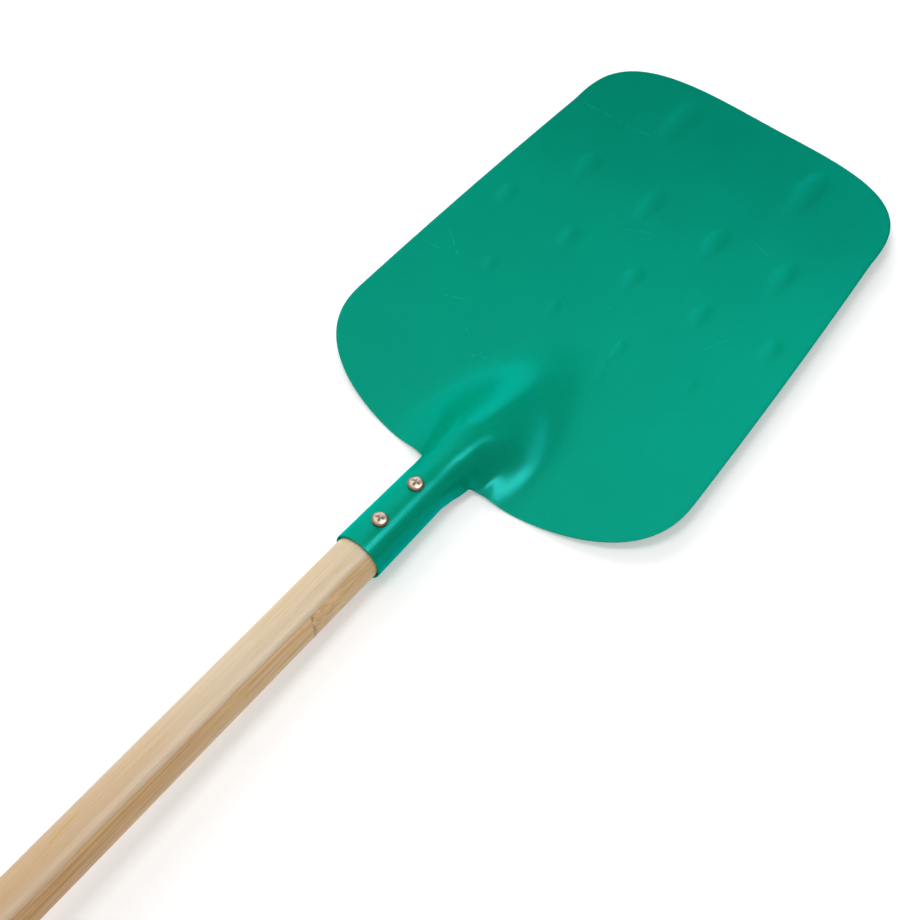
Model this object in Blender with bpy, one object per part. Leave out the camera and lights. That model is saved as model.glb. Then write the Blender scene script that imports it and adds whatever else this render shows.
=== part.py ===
"""Toy garden spade: pressed steel blade with a rolled socket, round bamboo handle and two socket screws.

The pieces are drawn in the blade's own frame: the socket mouth at y = 0, the tip at +Y, the blade's face up
and z = 0 along the lowest line of its dished front. An empty then sets that frame down as the spade lies on
a floor.
Lengths are in metres and angles in radians.
"""

import math

import bmesh
import bpy
import numpy as np
from mathutils import Matrix, Vector
from mathutils.geometry import delaunay_2d_cdt

# Sheet of the blade and socket
SHEET = 0.0008
FIT_GAP = 0.0003

# Blade outline: a superellipse at the heel, slightly bowed sides and a superellipse at the tip
HEEL_Y = 0.0575
HEEL_CORNER_Y = 0.1064
HEEL_HALF_WIDTH = 0.0907
HEEL_POWER = 2.45
TIP_Y = 0.3140
TIP_CORNER_Y = 0.262
TIP_HALF_WIDTH = 0.0838
TIP_POWER = 2.89
SIDE_BOW = 0.0008
DISH_RADIUS = 0.4446

# Socket: a tapered tube rolled from the same sheet, leaning up from the blade
SOCKET_LEAN = math.radians(4.455)
SOCKET_RADIUS = 0.0113
SOCKET_TAPER = 0.0145
MOUTH_HEIGHT = 0.0141
SEAM_GAP = 0.0018
SEAM_LENGTH = 0.034
SEAM_OPEN_Y = 0.047
MORPH_START = 0.041

# Waist between the socket and the blade
WAIST_Y = 0.0554
WAIST_HALF_WIDTH = 0.0131
WAIST_CORNER = 0.45
SHOULDER_START = 0.019

# Frog, first part: a low mound that spreads round the socket's end, with a round nose
MOUND_HEIGHT = 0.02066
MOUND_HALF_WIDTH = 0.04778
MOUND_ROUND_Y = 0.06346
MOUND_LENGTH = 0.08971
SIDE_ROUNDNESS = 2.44
SIDE_POWER = 7.37
NOSE_ROUNDNESS = 1.55
NOSE_POWER = 2.60
APRON_SHARE = 0.381

# Frog, second part: the ridge that carries the socket's front line out, flattening as it spreads
RIDGE_HALF_WIDTH = 0.01214
RIDGE_SPREAD = 0.00450
RIDGE_SPREAD_Y = 0.06129
RIDGE_OPEN_Y = 0.09075
RIDGE_FLAT_Y = 0.06934
RIDGE_FLATNESS = 2.25
RIDGE_POWER = 0.88
RIDGE_FOOT = 0.126
CREST_SOFTNESS = 0.00040

# Frog, third part: a shallow valley round the foot of the ridge
VALLEY_DEPTH = 0.00387
VALLEY_HALF_WIDTH = 0.01472
VALLEY_ROUND_Y = 0.05316
VALLEY_LENGTH = 0.04088
VALLEY_SPREAD = 0.261
VALLEY_END_Y = 0.07831

# Raised drops, in staggered rows that grow towards the tip
DROP_PITCH = 0.0368
DROP_WIDEST = 2.0 / 3.0
DROP_POWER = 1.5
DROP_ROWS = (
    # head y, length, width, height, places across in pitches
    (0.3035, 0.0430, 0.0150, 0.00060, (-1.0, 1.0)),
    (0.2445, 0.0275, 0.0115, 0.00050, (-1.5, -0.5, 0.5, 1.5)),
    (0.2015, 0.0215, 0.0095, 0.00045, (-2.0, -1.0, 0.0, 1.0, 2.0)),
    (0.1620, 0.0140, 0.0070, 0.00030, (-1.5, -0.5, 0.5, 1.5)),
)

# Handle
HANDLE_RADIUS = 0.010
HANDLE_LENGTH = 0.406
HANDLE_END_ROUND = 0.003
TENON_DEPTH = 0.044
TENON_CHAMFER = 0.001

# Balance point, from the mouth: 0.29 kg of steel sheet ahead of it, 0.10 kg of bamboo behind it
BALANCE_Y = 0.090

# Screws through the front of the socket
SCREW_PLACES = {"socket_screw_outer": 0.0139, "socket_screw_inner": 0.0362}
SCREW_HEAD_RADIUS = 0.0035
SCREW_HEAD_HEIGHT = 0.0022
SCREW_HEAD_RIM = 0.0007
SCREW_RADIUS = 0.00175
SCREW_CORE_RADIUS = 0.0012
SCREW_LENGTH = 0.0150
SCREW_POINT = 0.0035
SCREW_POINT_SHARE = 0.05
SCREW_PITCH = 0.0013
RECESS_WIDTH = 0.0012
RECESS_SPAN = 0.0040
RECESS_DEPTH = 0.0013
RECESS_FLOOR_SHARE = 0.45
RECESS_MOUTH_SHARE = 1.1
SHEET_DRILL_REACH = 4.0 * SHEET

# Fineness of the meshes
BLADE_STEP = 0.0092
FROG_REACH = 0.0370
FROG_STEP_X = 0.0023
FROG_STEP_Y = 0.0036
OUTLINE_STEP = 0.0075
SOCKET_COLUMNS = 18
CLOSED_ROWS = 5
OPENING_ROWS = 14
SECTION_STEPS = 200
HEEL_STEPS = 16
TIP_STEPS = 19
DROP_RINGS = ((1.0, 15), (0.55, 9))
DROP_MIDDLE = (0.5, 0.7, 0.85)
HANDLE_SIDES = 32
SCREW_SIDES = 16
THREAD_ROWS_PER_TURN = 3
HEAD_STEPS = 6
HEAD_CAP_ANGLE = math.radians(80)
HANDLE_END_STEPS = 6
SHARP_ANGLE = math.radians(38)
WELD = 1e-6
ROUND = 2.0

GREEN_ENAMEL = (0.0, 0.298, 0.196, 1.0)
GREEN_ENAMEL_ROUGHNESS = 0.25
BAMBOO = (0.72, 0.56, 0.36, 1.0)
BAMBOO_ROUGHNESS = 0.5
NICKEL = (0.66, 0.63, 0.60, 1.0)
NICKEL_ROUGHNESS = 0.25
METAL = 1.0
NOT_METAL = 0.0


def smoothstep(t):
    """Cubic ease from 0 to 1."""
    t = np.clip(t, 0.0, 1.0)
    return t * t * (3.0 - 2.0 * t)


def side_half_width(y):
    """Half width along the blade's side: a straight line between the corners, bowed out by a parabola."""
    t = (y - HEEL_CORNER_Y) / (TIP_CORNER_Y - HEEL_CORNER_Y)
    return HEEL_HALF_WIDTH + (TIP_HALF_WIDTH - HEEL_HALF_WIDTH) * t + 4.0 * SIDE_BOW * t * (1.0 - t)


def socket_radius(along):
    """Outer radius of the tapered socket at a distance along its axis from the mouth."""
    return SOCKET_RADIUS - SOCKET_TAPER * along


def socket_point(along, angle, radius):
    """Point round the socket's axis: angle 0 is the front line, the axis sinks towards the blade."""
    x = radius * np.sin(angle)
    y = along * math.cos(SOCKET_LEAN) + radius * np.cos(angle) * math.sin(SOCKET_LEAN)
    z = MOUTH_HEIGHT - along * math.sin(SOCKET_LEAN) + radius * np.cos(angle) * math.cos(SOCKET_LEAN)
    return x, y, z


def crest_line(y):
    """Height of the socket's front line, carried straight on over the blade."""
    _, y_mouth, z_mouth = socket_point(0.0, 0.0, socket_radius(0.0))
    _, y_waist, z_waist = socket_point(WAIST_Y, 0.0, socket_radius(WAIST_Y))
    return z_mouth + (z_waist - z_mouth) * (y - y_mouth) / (y_waist - y_mouth)


def soft_floor(value, reach):
    """Value where it is well over zero, easing to zero below: (v + sqrt(v^2 + 4 r^2)) / 2."""
    return 0.5 * (value + np.sqrt(value * value + 4.0 * reach * reach))


def mound_height(x, y):
    """Mound m (1 - r^n)^p with r^2 = (x/a)^2 + (y/b)^2; n and p turn from side to nose values."""
    beyond = np.clip(y - MOUND_ROUND_Y, 0.0, None) / MOUND_LENGTH
    squared = (x / MOUND_HALF_WIDTH) ** 2 + beyond ** 2
    nose = beyond ** 2 / np.clip(squared, WELD, None)
    roundness = SIDE_ROUNDNESS + (NOSE_ROUNDNESS - SIDE_ROUNDNESS) * nose
    power = SIDE_POWER + (NOSE_POWER - SIDE_POWER) * nose
    return MOUND_HEIGHT * np.clip(1.0 - squared ** (roundness / 2.0), 0.0, 1.0) ** power


def ridge_section(x, y):
    """Share of the ridge's height across it: 1 on the crest, round at the waist, flatter as it widens."""
    spread = smoothstep((y - WAIST_Y) / (RIDGE_SPREAD_Y - WAIST_Y))
    flat = smoothstep((y - WAIST_Y) / (RIDGE_FLAT_Y - WAIST_Y))
    half_width = RIDGE_HALF_WIDTH + RIDGE_SPREAD * spread
    reach = np.abs(x / half_width) ** (ROUND + (RIDGE_FLATNESS - ROUND) * flat)
    section = soft_floor(1.0 - reach, RIDGE_FOOT) / soft_floor(1.0, RIDGE_FOOT)
    return section ** (1.0 / ROUND + (RIDGE_POWER - 1.0 / ROUND) * spread)


def valley_depth(x, y):
    """Depth g exp(-((r - 1) / s)^2) of the valley along the ellipse r = 1, fading towards the tip."""
    beyond = np.clip(y - VALLEY_ROUND_Y, 0.0, None) / VALLEY_LENGTH
    radius = np.hypot(x / VALLEY_HALF_WIDTH, beyond)
    fading = 1.0 - smoothstep((y - VALLEY_ROUND_Y) / (VALLEY_END_Y - VALLEY_ROUND_Y))
    return VALLEY_DEPTH * np.exp(-((radius - 1.0) / VALLEY_SPREAD) ** 2) * fading


def frog_height(x, y):
    """Frog: the mound, a ridge up to the lower of the socket's front line and the mound, less a valley."""
    middle = mound_height(np.zeros_like(x), y)
    opened = smoothstep((y - WAIST_Y) / (RIDGE_OPEN_Y - WAIST_Y))
    share = APRON_SHARE + (1.0 - APRON_SHARE) * opened
    front_line = crest_line(np.minimum(y, MOUND_ROUND_Y + MOUND_LENGTH))
    top = front_line - soft_floor(front_line - middle, CREST_SOFTNESS)
    ridge = top - middle * share
    return mound_height(x, y) * share + ridge * ridge_section(x, y) - valley_depth(x, y)


def drop_places():
    """Centre x, head y, length, width and height of every drop."""
    for head_y, length, width, height, places in DROP_ROWS:
        for place in places:
            yield place * DROP_PITCH, head_y, length, width, height


def pear(t):
    """Squared half width of a drop along its length: 0 at the tail and the head, 1 at the widest place."""
    return t * t * (1.0 - t) / (DROP_WIDEST ** 2 * (1.0 - DROP_WIDEST))


def drop_height(x, y):
    """Sum of the drops: height times G^1.5, where G is a pear-shaped bump that is 1 at its widest place."""
    total = np.zeros_like(x)
    for centre, head_y, length, width, height in drop_places():
        t = np.clip((y - head_y + length) / length, 0.0, 1.0)
        bump = pear(t) - (2.0 * (x - centre) / width) ** 2
        total += height * np.clip(bump, 0.0, 1.0) ** DROP_POWER
    return total


def blade_height(x, y):
    """Height of the blade's front: the dish, plus the frog and the drops."""
    return x * x / (2.0 * DISH_RADIUS) + frog_height(x, y) + drop_height(x, y)


def waist_section():
    """Table of x, height and arc length across the ridge at the waist, from the crest outwards."""
    x = np.linspace(0.0, WAIST_HALF_WIDTH, SECTION_STEPS)
    z = blade_height(x, np.full_like(x, WAIST_Y))
    arc = np.concatenate(([0.0], np.cumsum(np.hypot(np.diff(x), np.diff(z)))))
    return x, z, arc


def socket_arc(along):
    """Half width of the flat blank along the socket: closed up to the seam's end, then cut back."""
    closed = math.pi * socket_radius(along) - SEAM_GAP / 2.0
    waist = waist_section()[2][-1]
    return closed + (waist - closed) * smoothstep((along - SEAM_LENGTH) / (SEAM_OPEN_Y - SEAM_LENGTH))


def socket_rows():
    """Distances of the socket's rows from the mouth, closer together where the sheet opens."""
    closed = np.linspace(0.0, SEAM_LENGTH, CLOSED_ROWS)
    opening = np.linspace(SEAM_LENGTH, WAIST_Y, OPENING_ROWS)
    return np.concatenate((closed, opening[1:]))


def socket_row(along):
    """One row of points across the socket: the rolled tube, eased into the ridge's section at the waist."""
    share = np.linspace(-1.0, 1.0, 2 * SOCKET_COLUMNS + 1)
    arc = share * socket_arc(along)
    radius = socket_radius(along)
    tube = np.stack(socket_point(along, arc / radius, radius), axis=1)
    x, z, table = waist_section()
    ridge_x = np.sign(arc) * np.interp(np.abs(arc), table, x)
    overrun = np.clip(np.abs(arc) - table[-1], 0.0, None) * np.sign(arc)
    ridge_z = np.interp(np.abs(arc), table, z) + crest_line(along) - crest_line(WAIST_Y)
    ridge = np.stack((ridge_x + overrun, np.full_like(arc, along), ridge_z), axis=1)
    ease = smoothstep((along - MORPH_START) / (WAIST_Y - MORPH_START))
    return tube + (ridge - tube) * ease


def half_outline():
    """Right half of the blade's outline in plan, from the waist round to the middle of the tip."""
    waist = Vector((WAIST_HALF_WIDTH, WAIST_Y))
    heel_depth = HEEL_CORNER_Y - HEEL_Y
    start_cosine = (SHOULDER_START / HEEL_HALF_WIDTH) ** (HEEL_POWER / 2.0)
    start = math.acos(start_cosine)
    shoulder_y = HEEL_CORNER_Y - heel_depth * math.sin(start) ** (2.0 / HEEL_POWER)
    shoulder = Vector((SHOULDER_START, shoulder_y))
    corner = Vector((waist.x + WAIST_CORNER * (shoulder.y - waist.y), shoulder.y))
    points = [waist]
    for t in (0.25, 0.5, 0.75):
        points.append(waist * (1 - t) ** 2 + corner * 2 * t * (1 - t) + shoulder * t * t)
    for angle in np.linspace(start, 0.0, HEEL_STEPS):
        x = HEEL_HALF_WIDTH * math.cos(angle) ** (2.0 / HEEL_POWER)
        y = HEEL_CORNER_Y - heel_depth * math.sin(angle) ** (2.0 / HEEL_POWER)
        points.append(Vector((x, y)))
    side_count = round((TIP_CORNER_Y - HEEL_CORNER_Y) / OUTLINE_STEP)
    for y in np.linspace(HEEL_CORNER_Y, TIP_CORNER_Y, side_count + 1)[1:-1]:
        points.append(Vector((side_half_width(y), y)))
    for angle in np.linspace(0.0, math.pi / 2.0, TIP_STEPS):
        x = TIP_HALF_WIDTH * math.cos(angle) ** (2.0 / TIP_POWER)
        y = TIP_CORNER_Y + (TIP_Y - TIP_CORNER_Y) * math.sin(angle) ** (2.0 / TIP_POWER)
        points.append(Vector((x if angle < math.pi / 2.0 else 0.0, y)))
    return points


def clearance(points, outline):
    """Distance of each point from the closed outline, negative outside it."""
    start = outline
    step = np.roll(outline, -1, axis=0) - start
    offset = points[:, None, :] - start[None, :, :]
    share = np.clip((offset * step).sum(2) / (step * step).sum(1), 0.0, 1.0)
    distance = np.linalg.norm(offset - share[..., None] * step, axis=2).min(axis=1)
    above = offset[..., 1] < 0.0
    next_above = (offset - step)[..., 1] < 0.0
    reach = offset[..., 0] * step[:, 1] - offset[..., 1] * step[:, 0]
    crossings = (above != next_above) & ((reach < 0.0) == (step[:, 1] > 0.0))
    inside = crossings.sum(axis=1) % 2 == 1
    return np.where(inside, distance, -distance)


def staggered_grid(x_reach, y_low, y_high, x_step, y_step):
    """Points in rows, every second row moved by half a step, the same on both sides of x = 0."""
    rows = []
    count = int(x_reach / x_step) + 1
    for index, y in enumerate(np.arange(y_low, y_high, y_step)):
        shift = 0.5 * (index % 2)
        places = (np.arange(-count, count + 1) + shift) * x_step
        rows.append(np.stack((places, np.full_like(places, y)), axis=1))
    return np.concatenate(rows)


def drop_points(centre, head_y, length, width):
    """Points of one drop: its rim, a ring half way in, and its middle line."""
    tail_y = head_y - length
    points = [(centre, tail_y + length * t) for t in DROP_MIDDLE]
    for scale, count in DROP_RINGS:
        for t in np.linspace(0.0, 1.0, count // 2 + 2):
            reach = scale * 0.5 * width * math.sqrt(pear(t))
            y = tail_y + length * (DROP_WIDEST + (t - DROP_WIDEST) * scale)
            points.append((centre + reach, y))
            if reach > 0.0:
                points.append((centre - reach, y))
    return np.array(points)


def blade_points(outline):
    """Points inside the blade: a coarse grid, a finer one over the frog, and rings in the drops."""
    drops = [drop_points(*place[:4]) for place in drop_places()]
    margin = BLADE_STEP / 3.0
    frog_end = MOUND_ROUND_Y + MOUND_LENGTH - FROG_STEP_Y * 2.0
    frog = staggered_grid(FROG_REACH, WAIST_Y + FROG_STEP_Y / 2.0, frog_end, FROG_STEP_X, FROG_STEP_Y)
    frog = frog[np.abs(frog[:, 0]) < FROG_REACH]
    plain = staggered_grid(HEEL_HALF_WIDTH, HEEL_Y, TIP_Y, BLADE_STEP, BLADE_STEP)
    beside_frog = np.abs(plain[:, 0]) < FROG_REACH + BLADE_STEP / 2.0
    below_frog_end = plain[:, 1] < frog_end + margin
    plain = plain[~(beside_frog & below_frog_end)]
    for centre, head_y, length, width, _ in drop_places():
        beside = np.abs(plain[:, 0] - centre) < width / 2.0 + margin
        along = np.abs(plain[:, 1] - head_y + length / 2.0) < length / 2.0 + margin
        plain = plain[~(beside & along)]
    plain = plain[clearance(plain, outline) > BLADE_STEP / 2.0]
    frog = frog[clearance(frog, outline) > FROG_STEP_X / 2.0]
    return np.concatenate([plain, frog] + drops)


def new_object(name, mesh, material, parent):
    """Object with one material under the given parent."""
    mesh.materials.append(material)
    thing = bpy.data.objects.new(name, mesh)
    bpy.context.scene.collection.objects.link(thing)
    thing.parent = parent
    return thing


def finish_mesh(name, work, sharp_angle):
    """Mesh from a bmesh, smooth except along edges sharper than the angle."""
    mesh = bpy.data.meshes.new(name)
    work.to_mesh(mesh)
    work.free()
    mesh.shade_smooth()
    mesh.set_sharp_from_angle(angle=sharp_angle)
    return mesh


def add_grid(work, rows):
    """Faces between rows of points, turned so that the front looks up and out."""
    grid = [[work.verts.new(point) for point in row] for row in rows]
    for low, high in zip(grid[:-1], grid[1:]):
        for left in range(len(low) - 1):
            work.faces.new((low[left], low[left + 1], high[left + 1], high[left]))


def add_blade(work, waist_row):
    """Blade face in triangles: outline, waist row and inner points, lifted to the blade's height."""
    right = [tuple(point) for point in half_outline()]
    left = [(-x, y) for x, y in reversed(right[:-1])]
    waist = [tuple(point[:2]) for point in waist_row[1:-1]]
    outline = np.array(right + left + waist)
    inner = blade_points(outline)
    flat = [Vector(point) for point in np.concatenate((outline, inner))]
    loop = list(range(len(outline)))
    points, _, faces, _, _, _ = delaunay_2d_cdt(flat, [], [loop], 1, WELD)
    plan = np.array([tuple(point) for point in points])
    height = blade_height(plan[:, 0], plan[:, 1])
    corners = [work.verts.new((*place, z)) for place, z in zip(plan.tolist(), height.tolist())]
    for face in faces:
        work.faces.new([corners[index] for index in face])


def make_sheet(material, parent):
    """Blade, frog and socket as one bent sheet, with two screw holes."""
    work = bmesh.new()
    rows = [socket_row(along) for along in socket_rows()]
    add_grid(work, [row.tolist() for row in rows])
    add_blade(work, rows[-1].tolist())
    bmesh.ops.remove_doubles(work, verts=work.verts, dist=WELD * 10)
    mesh = finish_mesh("blade_and_socket", work, SHARP_ANGLE)
    sheet = new_object("blade_and_socket", mesh, material, parent)
    thickness = sheet.modifiers.new("sheet_thickness", "SOLIDIFY")
    thickness.thickness = SHEET
    thickness.offset = -1.0
    thickness.use_even_offset = True
    for name, along in SCREW_PLACES.items():
        drill(sheet, name, along, SCREW_RADIUS + FIT_GAP, -SHEET_DRILL_REACH, SHEET_DRILL_REACH)
    return sheet


def screw_frame(along):
    """Place on the socket's front line, with local z along the screw and out of the socket."""
    seat = Vector(socket_point(along, 0.0, socket_radius(along)))
    return Matrix.Translation(seat) @ Matrix.Rotation(-SOCKET_LEAN, 4, "X")


def turned(profile, sides):
    """Body of revolution about z from (radius, height) pairs, with flat ends."""
    work = bmesh.new()
    rings = []
    for radius, height in profile:
        ring = []
        for side in range(sides):
            angle = 2.0 * math.pi * (side + 0.5) / sides
            ring.append(work.verts.new((radius * math.cos(angle), radius * math.sin(angle), height)))
        rings.append(ring)
    for low, high in zip(rings[:-1], rings[1:]):
        for side in range(sides):
            after = (side + 1) % sides
            work.faces.new((low[side], low[after], high[after], high[side]))
    work.faces.new(list(reversed(rings[0])))
    work.faces.new(rings[-1])
    return work


def drill(target, name, along, radius, low, high):
    """Cut a round hole in line with a screw, between two heights over the socket's front line."""
    work = turned(((radius, low), (radius, high)), SCREW_SIDES)
    mesh = finish_mesh("hole", work, SHARP_ANGLE)
    cutter = new_object(f"{target.name}_{name}_hole", mesh, target.active_material, target.parent)
    cutter.matrix_basis = screw_frame(along)
    cutter.hide_render = True
    cutter.display_type = "WIRE"
    cut = target.modifiers.new(f"{name}_hole", "BOOLEAN")
    cut.object = cutter
    cut.operation = "DIFFERENCE"


def socket_bore(along):
    """Radius that a piece inside the socket may have."""
    return socket_radius(along) - SHEET - FIT_GAP


def make_handle(material, parent):
    """Round handle: rounded far end with a flat face, plain dowel, tapered tenon and two pilot holes."""
    profile = []
    for angle in np.linspace(math.pi / 2.0, 0.0, HANDLE_END_STEPS):
        radius = HANDLE_RADIUS - HANDLE_END_ROUND * (1.0 - math.cos(angle))
        profile.append((radius, -HANDLE_LENGTH + HANDLE_END_ROUND * (1.0 - math.sin(angle))))
    profile.append((HANDLE_RADIUS, -HANDLE_LENGTH / 2.0))
    taper_start = (SOCKET_RADIUS - SHEET - FIT_GAP - HANDLE_RADIUS) / SOCKET_TAPER
    profile.append((HANDLE_RADIUS, taper_start))
    profile.append((socket_bore(TENON_DEPTH - TENON_CHAMFER), TENON_DEPTH - TENON_CHAMFER))
    profile.append((socket_bore(TENON_DEPTH) - TENON_CHAMFER, TENON_DEPTH))
    work = turned(profile, HANDLE_SIDES)
    handle = new_object("handle", finish_mesh("handle", work, SHARP_ANGLE), material, parent)
    lean = Matrix.Rotation(-SOCKET_LEAN - math.pi / 2.0, 4, "X")
    handle.matrix_basis = Matrix.Translation((0.0, 0.0, MOUTH_HEIGHT)) @ lean
    for name, along in SCREW_PLACES.items():
        drill(handle, name, along, SCREW_RADIUS + FIT_GAP, -SCREW_LENGTH - 2.0 * FIT_GAP, SHEET)
    return handle


def screw_radius(below):
    """Radius of the screw's core at a depth below its head: cylindrical, then a cone to the point."""
    to_point = np.clip((SCREW_LENGTH - below) / SCREW_POINT, SCREW_POINT_SHARE, 1.0)
    return SCREW_CORE_RADIUS * to_point


def add_thread(work, top, bottom):
    """Helical thread: rows climb one pitch a turn, every third row is the crest; ends are clamped flat."""
    rows_a_turn = THREAD_ROWS_PER_TURN
    turns = (top - bottom) / SCREW_PITCH
    last_row = int(turns * rows_a_turn) + rows_a_turn
    sides = SCREW_SIDES
    grid = []
    for row in range(-rows_a_turn, last_row + 1):
        line = []
        for side in range(sides + 1):
            turn = side / sides
            height = top - (row / rows_a_turn + turn) * SCREW_PITCH
            clamped = min(max(height, bottom), top)
            radius = screw_radius(-clamped)
            if row % rows_a_turn == 0 and bottom < height < top:
                radius += (SCREW_RADIUS - SCREW_CORE_RADIUS) * min(1.0, (height - bottom) / SCREW_POINT)
            angle = -2.0 * math.pi * turn
            line.append(work.verts.new((radius * math.cos(angle), radius * math.sin(angle), clamped)))
        grid.append(line)
    for high, low in zip(grid[:-1], grid[1:]):
        for side in range(sides):
            work.faces.new((high[side], high[side + 1], low[side + 1], low[side]))


def make_screw(name, along, material, parent):
    """Pan-head screw: domed head with a cross recess, threaded shank and a point, in one body."""
    work = bmesh.new()
    head = [(SCREW_CORE_RADIUS, 0.0), (SCREW_HEAD_RADIUS, 0.0)]
    dome = SCREW_HEAD_HEIGHT - SCREW_HEAD_RIM
    for angle in np.linspace(0.0, HEAD_CAP_ANGLE, HEAD_STEPS):
        head.append((SCREW_HEAD_RADIUS * math.cos(angle), SCREW_HEAD_RIM + dome * math.sin(angle)))
    rings = []
    for radius, height in head:
        ring = []
        for side in range(SCREW_SIDES):
            angle = -2.0 * math.pi * side / SCREW_SIDES
            ring.append(work.verts.new((radius * math.cos(angle), radius * math.sin(angle), height)))
        rings.append(ring)
    for low, high in zip(rings[:-1], rings[1:]):
        for side in range(SCREW_SIDES):
            after = (side + 1) % SCREW_SIDES
            work.faces.new((low[after], low[side], high[side], high[after]))
    work.faces.new(list(reversed(rings[-1])))
    add_thread(work, 0.0, -SCREW_LENGTH)
    bmesh.ops.remove_doubles(work, verts=work.verts, dist=WELD * 10)
    bmesh.ops.holes_fill(work, edges=[edge for edge in work.edges if edge.is_boundary], sides=SCREW_SIDES)
    bmesh.ops.recalc_face_normals(work, faces=work.faces)
    screw = new_object(name, finish_mesh(name, work, SHARP_ANGLE), material, parent)
    screw.matrix_basis = screw_frame(along) @ Matrix.Translation((0.0, 0.0, FIT_GAP))
    cutter = new_object(f"{name}_recess", recess_mesh(), material, screw)
    cutter.hide_render = True
    cutter.display_type = "WIRE"
    cut = screw.modifiers.new("cross_recess", "BOOLEAN")
    cut.object = cutter
    cut.operation = "DIFFERENCE"
    return screw


def recess_mesh():
    """Cross-shaped cutter that narrows downwards."""
    work = bmesh.new()
    arm, half = RECESS_SPAN / 2.0, RECESS_WIDTH / 2.0
    corner = [(arm, -half), (arm, half), (half, half)]
    cross = [(x, y) for x, y in corner]
    for _ in range(3):
        corner = [(-y, x) for x, y in corner]
        cross += corner
    rings = []
    for share, height in ((RECESS_FLOOR_SHARE, -RECESS_DEPTH), (RECESS_MOUTH_SHARE, SHEET)):
        rings.append([work.verts.new((x * share, y * share, SCREW_HEAD_HEIGHT + height)) for x, y in cross])
    for side in range(len(cross)):
        after = (side + 1) % len(cross)
        work.faces.new((rings[0][side], rings[0][after], rings[1][after], rings[1][side]))
    work.faces.new(list(reversed(rings[0])))
    work.faces.new(rings[1])
    bmesh.ops.recalc_face_normals(work, faces=work.faces)
    return finish_mesh("recess", work, SHARP_ANGLE)


def make_material(name, colour, roughness, metallic):
    """Principled material of one plain finish."""
    material = bpy.data.materials.new(name)
    material.use_nodes = True
    shader = material.node_tree.nodes["Principled BSDF"]
    shader.inputs["Base Color"].default_value = colour
    shader.inputs["Roughness"].default_value = roughness
    shader.inputs["Metallic"].default_value = metallic
    return material


def world_corners(things):
    """Every corner of the finished meshes, in world space."""
    graph = bpy.context.evaluated_depsgraph_get()
    clouds = []
    for thing in things:
        shown = thing.evaluated_get(graph)
        mesh = shown.to_mesh()
        flat = np.empty(len(mesh.vertices) * 3, dtype=np.float32)
        mesh.vertices.foreach_get("co", flat)
        turn = np.array(shown.matrix_world)
        clouds.append(flat.reshape(-1, 3) @ turn[:3, :3].T + turn[:3, 3])
        shown.to_mesh_clear()
    return np.concatenate(clouds)


def resting_angle(corners, balance_y):
    """Turn about x that lays the body down: the slope of its lowest edge under the balance point."""
    side_view = sorted(set(map(tuple, corners[:, 1:].round(7).tolist())))
    hull = []
    for point in side_view:
        while len(hull) > 1:
            (ay, az), (by, bz) = hull[-2], hull[-1]
            if (by - ay) * (point[1] - az) - (bz - az) * (point[0] - ay) > 0.0:
                break
            hull.pop()
        hull.append(point)
    for (ay, az), (by, bz) in zip(hull[:-1], hull[1:]):
        if ay <= balance_y <= by:
            return math.atan2(bz - az, by - ay)
    return 0.0


def main():
    for thing in list(bpy.data.objects):
        bpy.data.objects.remove(thing)
    rest = bpy.data.objects.new("resting_frame", None)
    bpy.context.scene.collection.objects.link(rest)
    enamel = make_material("green_enamel", GREEN_ENAMEL, GREEN_ENAMEL_ROUGHNESS, NOT_METAL)
    bamboo = make_material("laminated_bamboo", BAMBOO, BAMBOO_ROUGHNESS, NOT_METAL)
    nickel = make_material("nickel_plated_steel", NICKEL, NICKEL_ROUGHNESS, METAL)
    sheet = make_sheet(enamel, rest)
    handle = make_handle(bamboo, rest)
    screws = [make_screw(name, along, nickel, rest) for name, along in SCREW_PLACES.items()]
    bpy.context.view_layer.update()
    corners = world_corners([sheet, handle] + screws)
    rest.rotation_euler.x = -resting_angle(corners, BALANCE_Y)
    bpy.context.view_layer.update()
    corners = world_corners([sheet, handle] + screws)
    low, high = corners.min(axis=0), corners.max(axis=0)
    rest.location = (-(low[0] + high[0]) / 2.0, -(low[1] + high[1]) / 2.0, -low[2])
    bpy.context.view_layer.update()


main()
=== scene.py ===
import math

import bpy
import numpy as np
from bpy.props import FloatProperty, FloatVectorProperty, PointerProperty
from mathutils import Matrix, Vector


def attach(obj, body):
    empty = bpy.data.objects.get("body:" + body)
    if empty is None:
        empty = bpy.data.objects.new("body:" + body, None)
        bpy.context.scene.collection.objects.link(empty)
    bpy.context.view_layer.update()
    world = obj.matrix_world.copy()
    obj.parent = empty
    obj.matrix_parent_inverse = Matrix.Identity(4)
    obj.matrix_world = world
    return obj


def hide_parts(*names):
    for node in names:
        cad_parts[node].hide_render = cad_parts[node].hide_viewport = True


bl_info = {
    "name": "Toy Garden Spade",
    "version": (1, 0, 0),
    "blender": (4, 5, 0),
    "location": "3D View > Sidebar > Spade",
    "description": "Fine sheet, bamboo handle, screws and studio for a child's garden spade",
    "category": "Object",
}

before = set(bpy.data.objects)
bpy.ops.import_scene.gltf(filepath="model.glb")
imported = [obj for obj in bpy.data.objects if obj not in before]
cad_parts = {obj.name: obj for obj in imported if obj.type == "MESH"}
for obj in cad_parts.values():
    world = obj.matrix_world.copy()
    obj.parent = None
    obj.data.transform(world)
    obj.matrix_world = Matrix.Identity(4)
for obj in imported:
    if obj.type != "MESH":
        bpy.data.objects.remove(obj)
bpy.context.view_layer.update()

# How the spade lies on the floor: the blade's own frame turned about X and moved
REST_TILT = math.radians(0.7358378)
REST_PLACE = (0.0, 0.0458951, -0.0011215)

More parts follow.
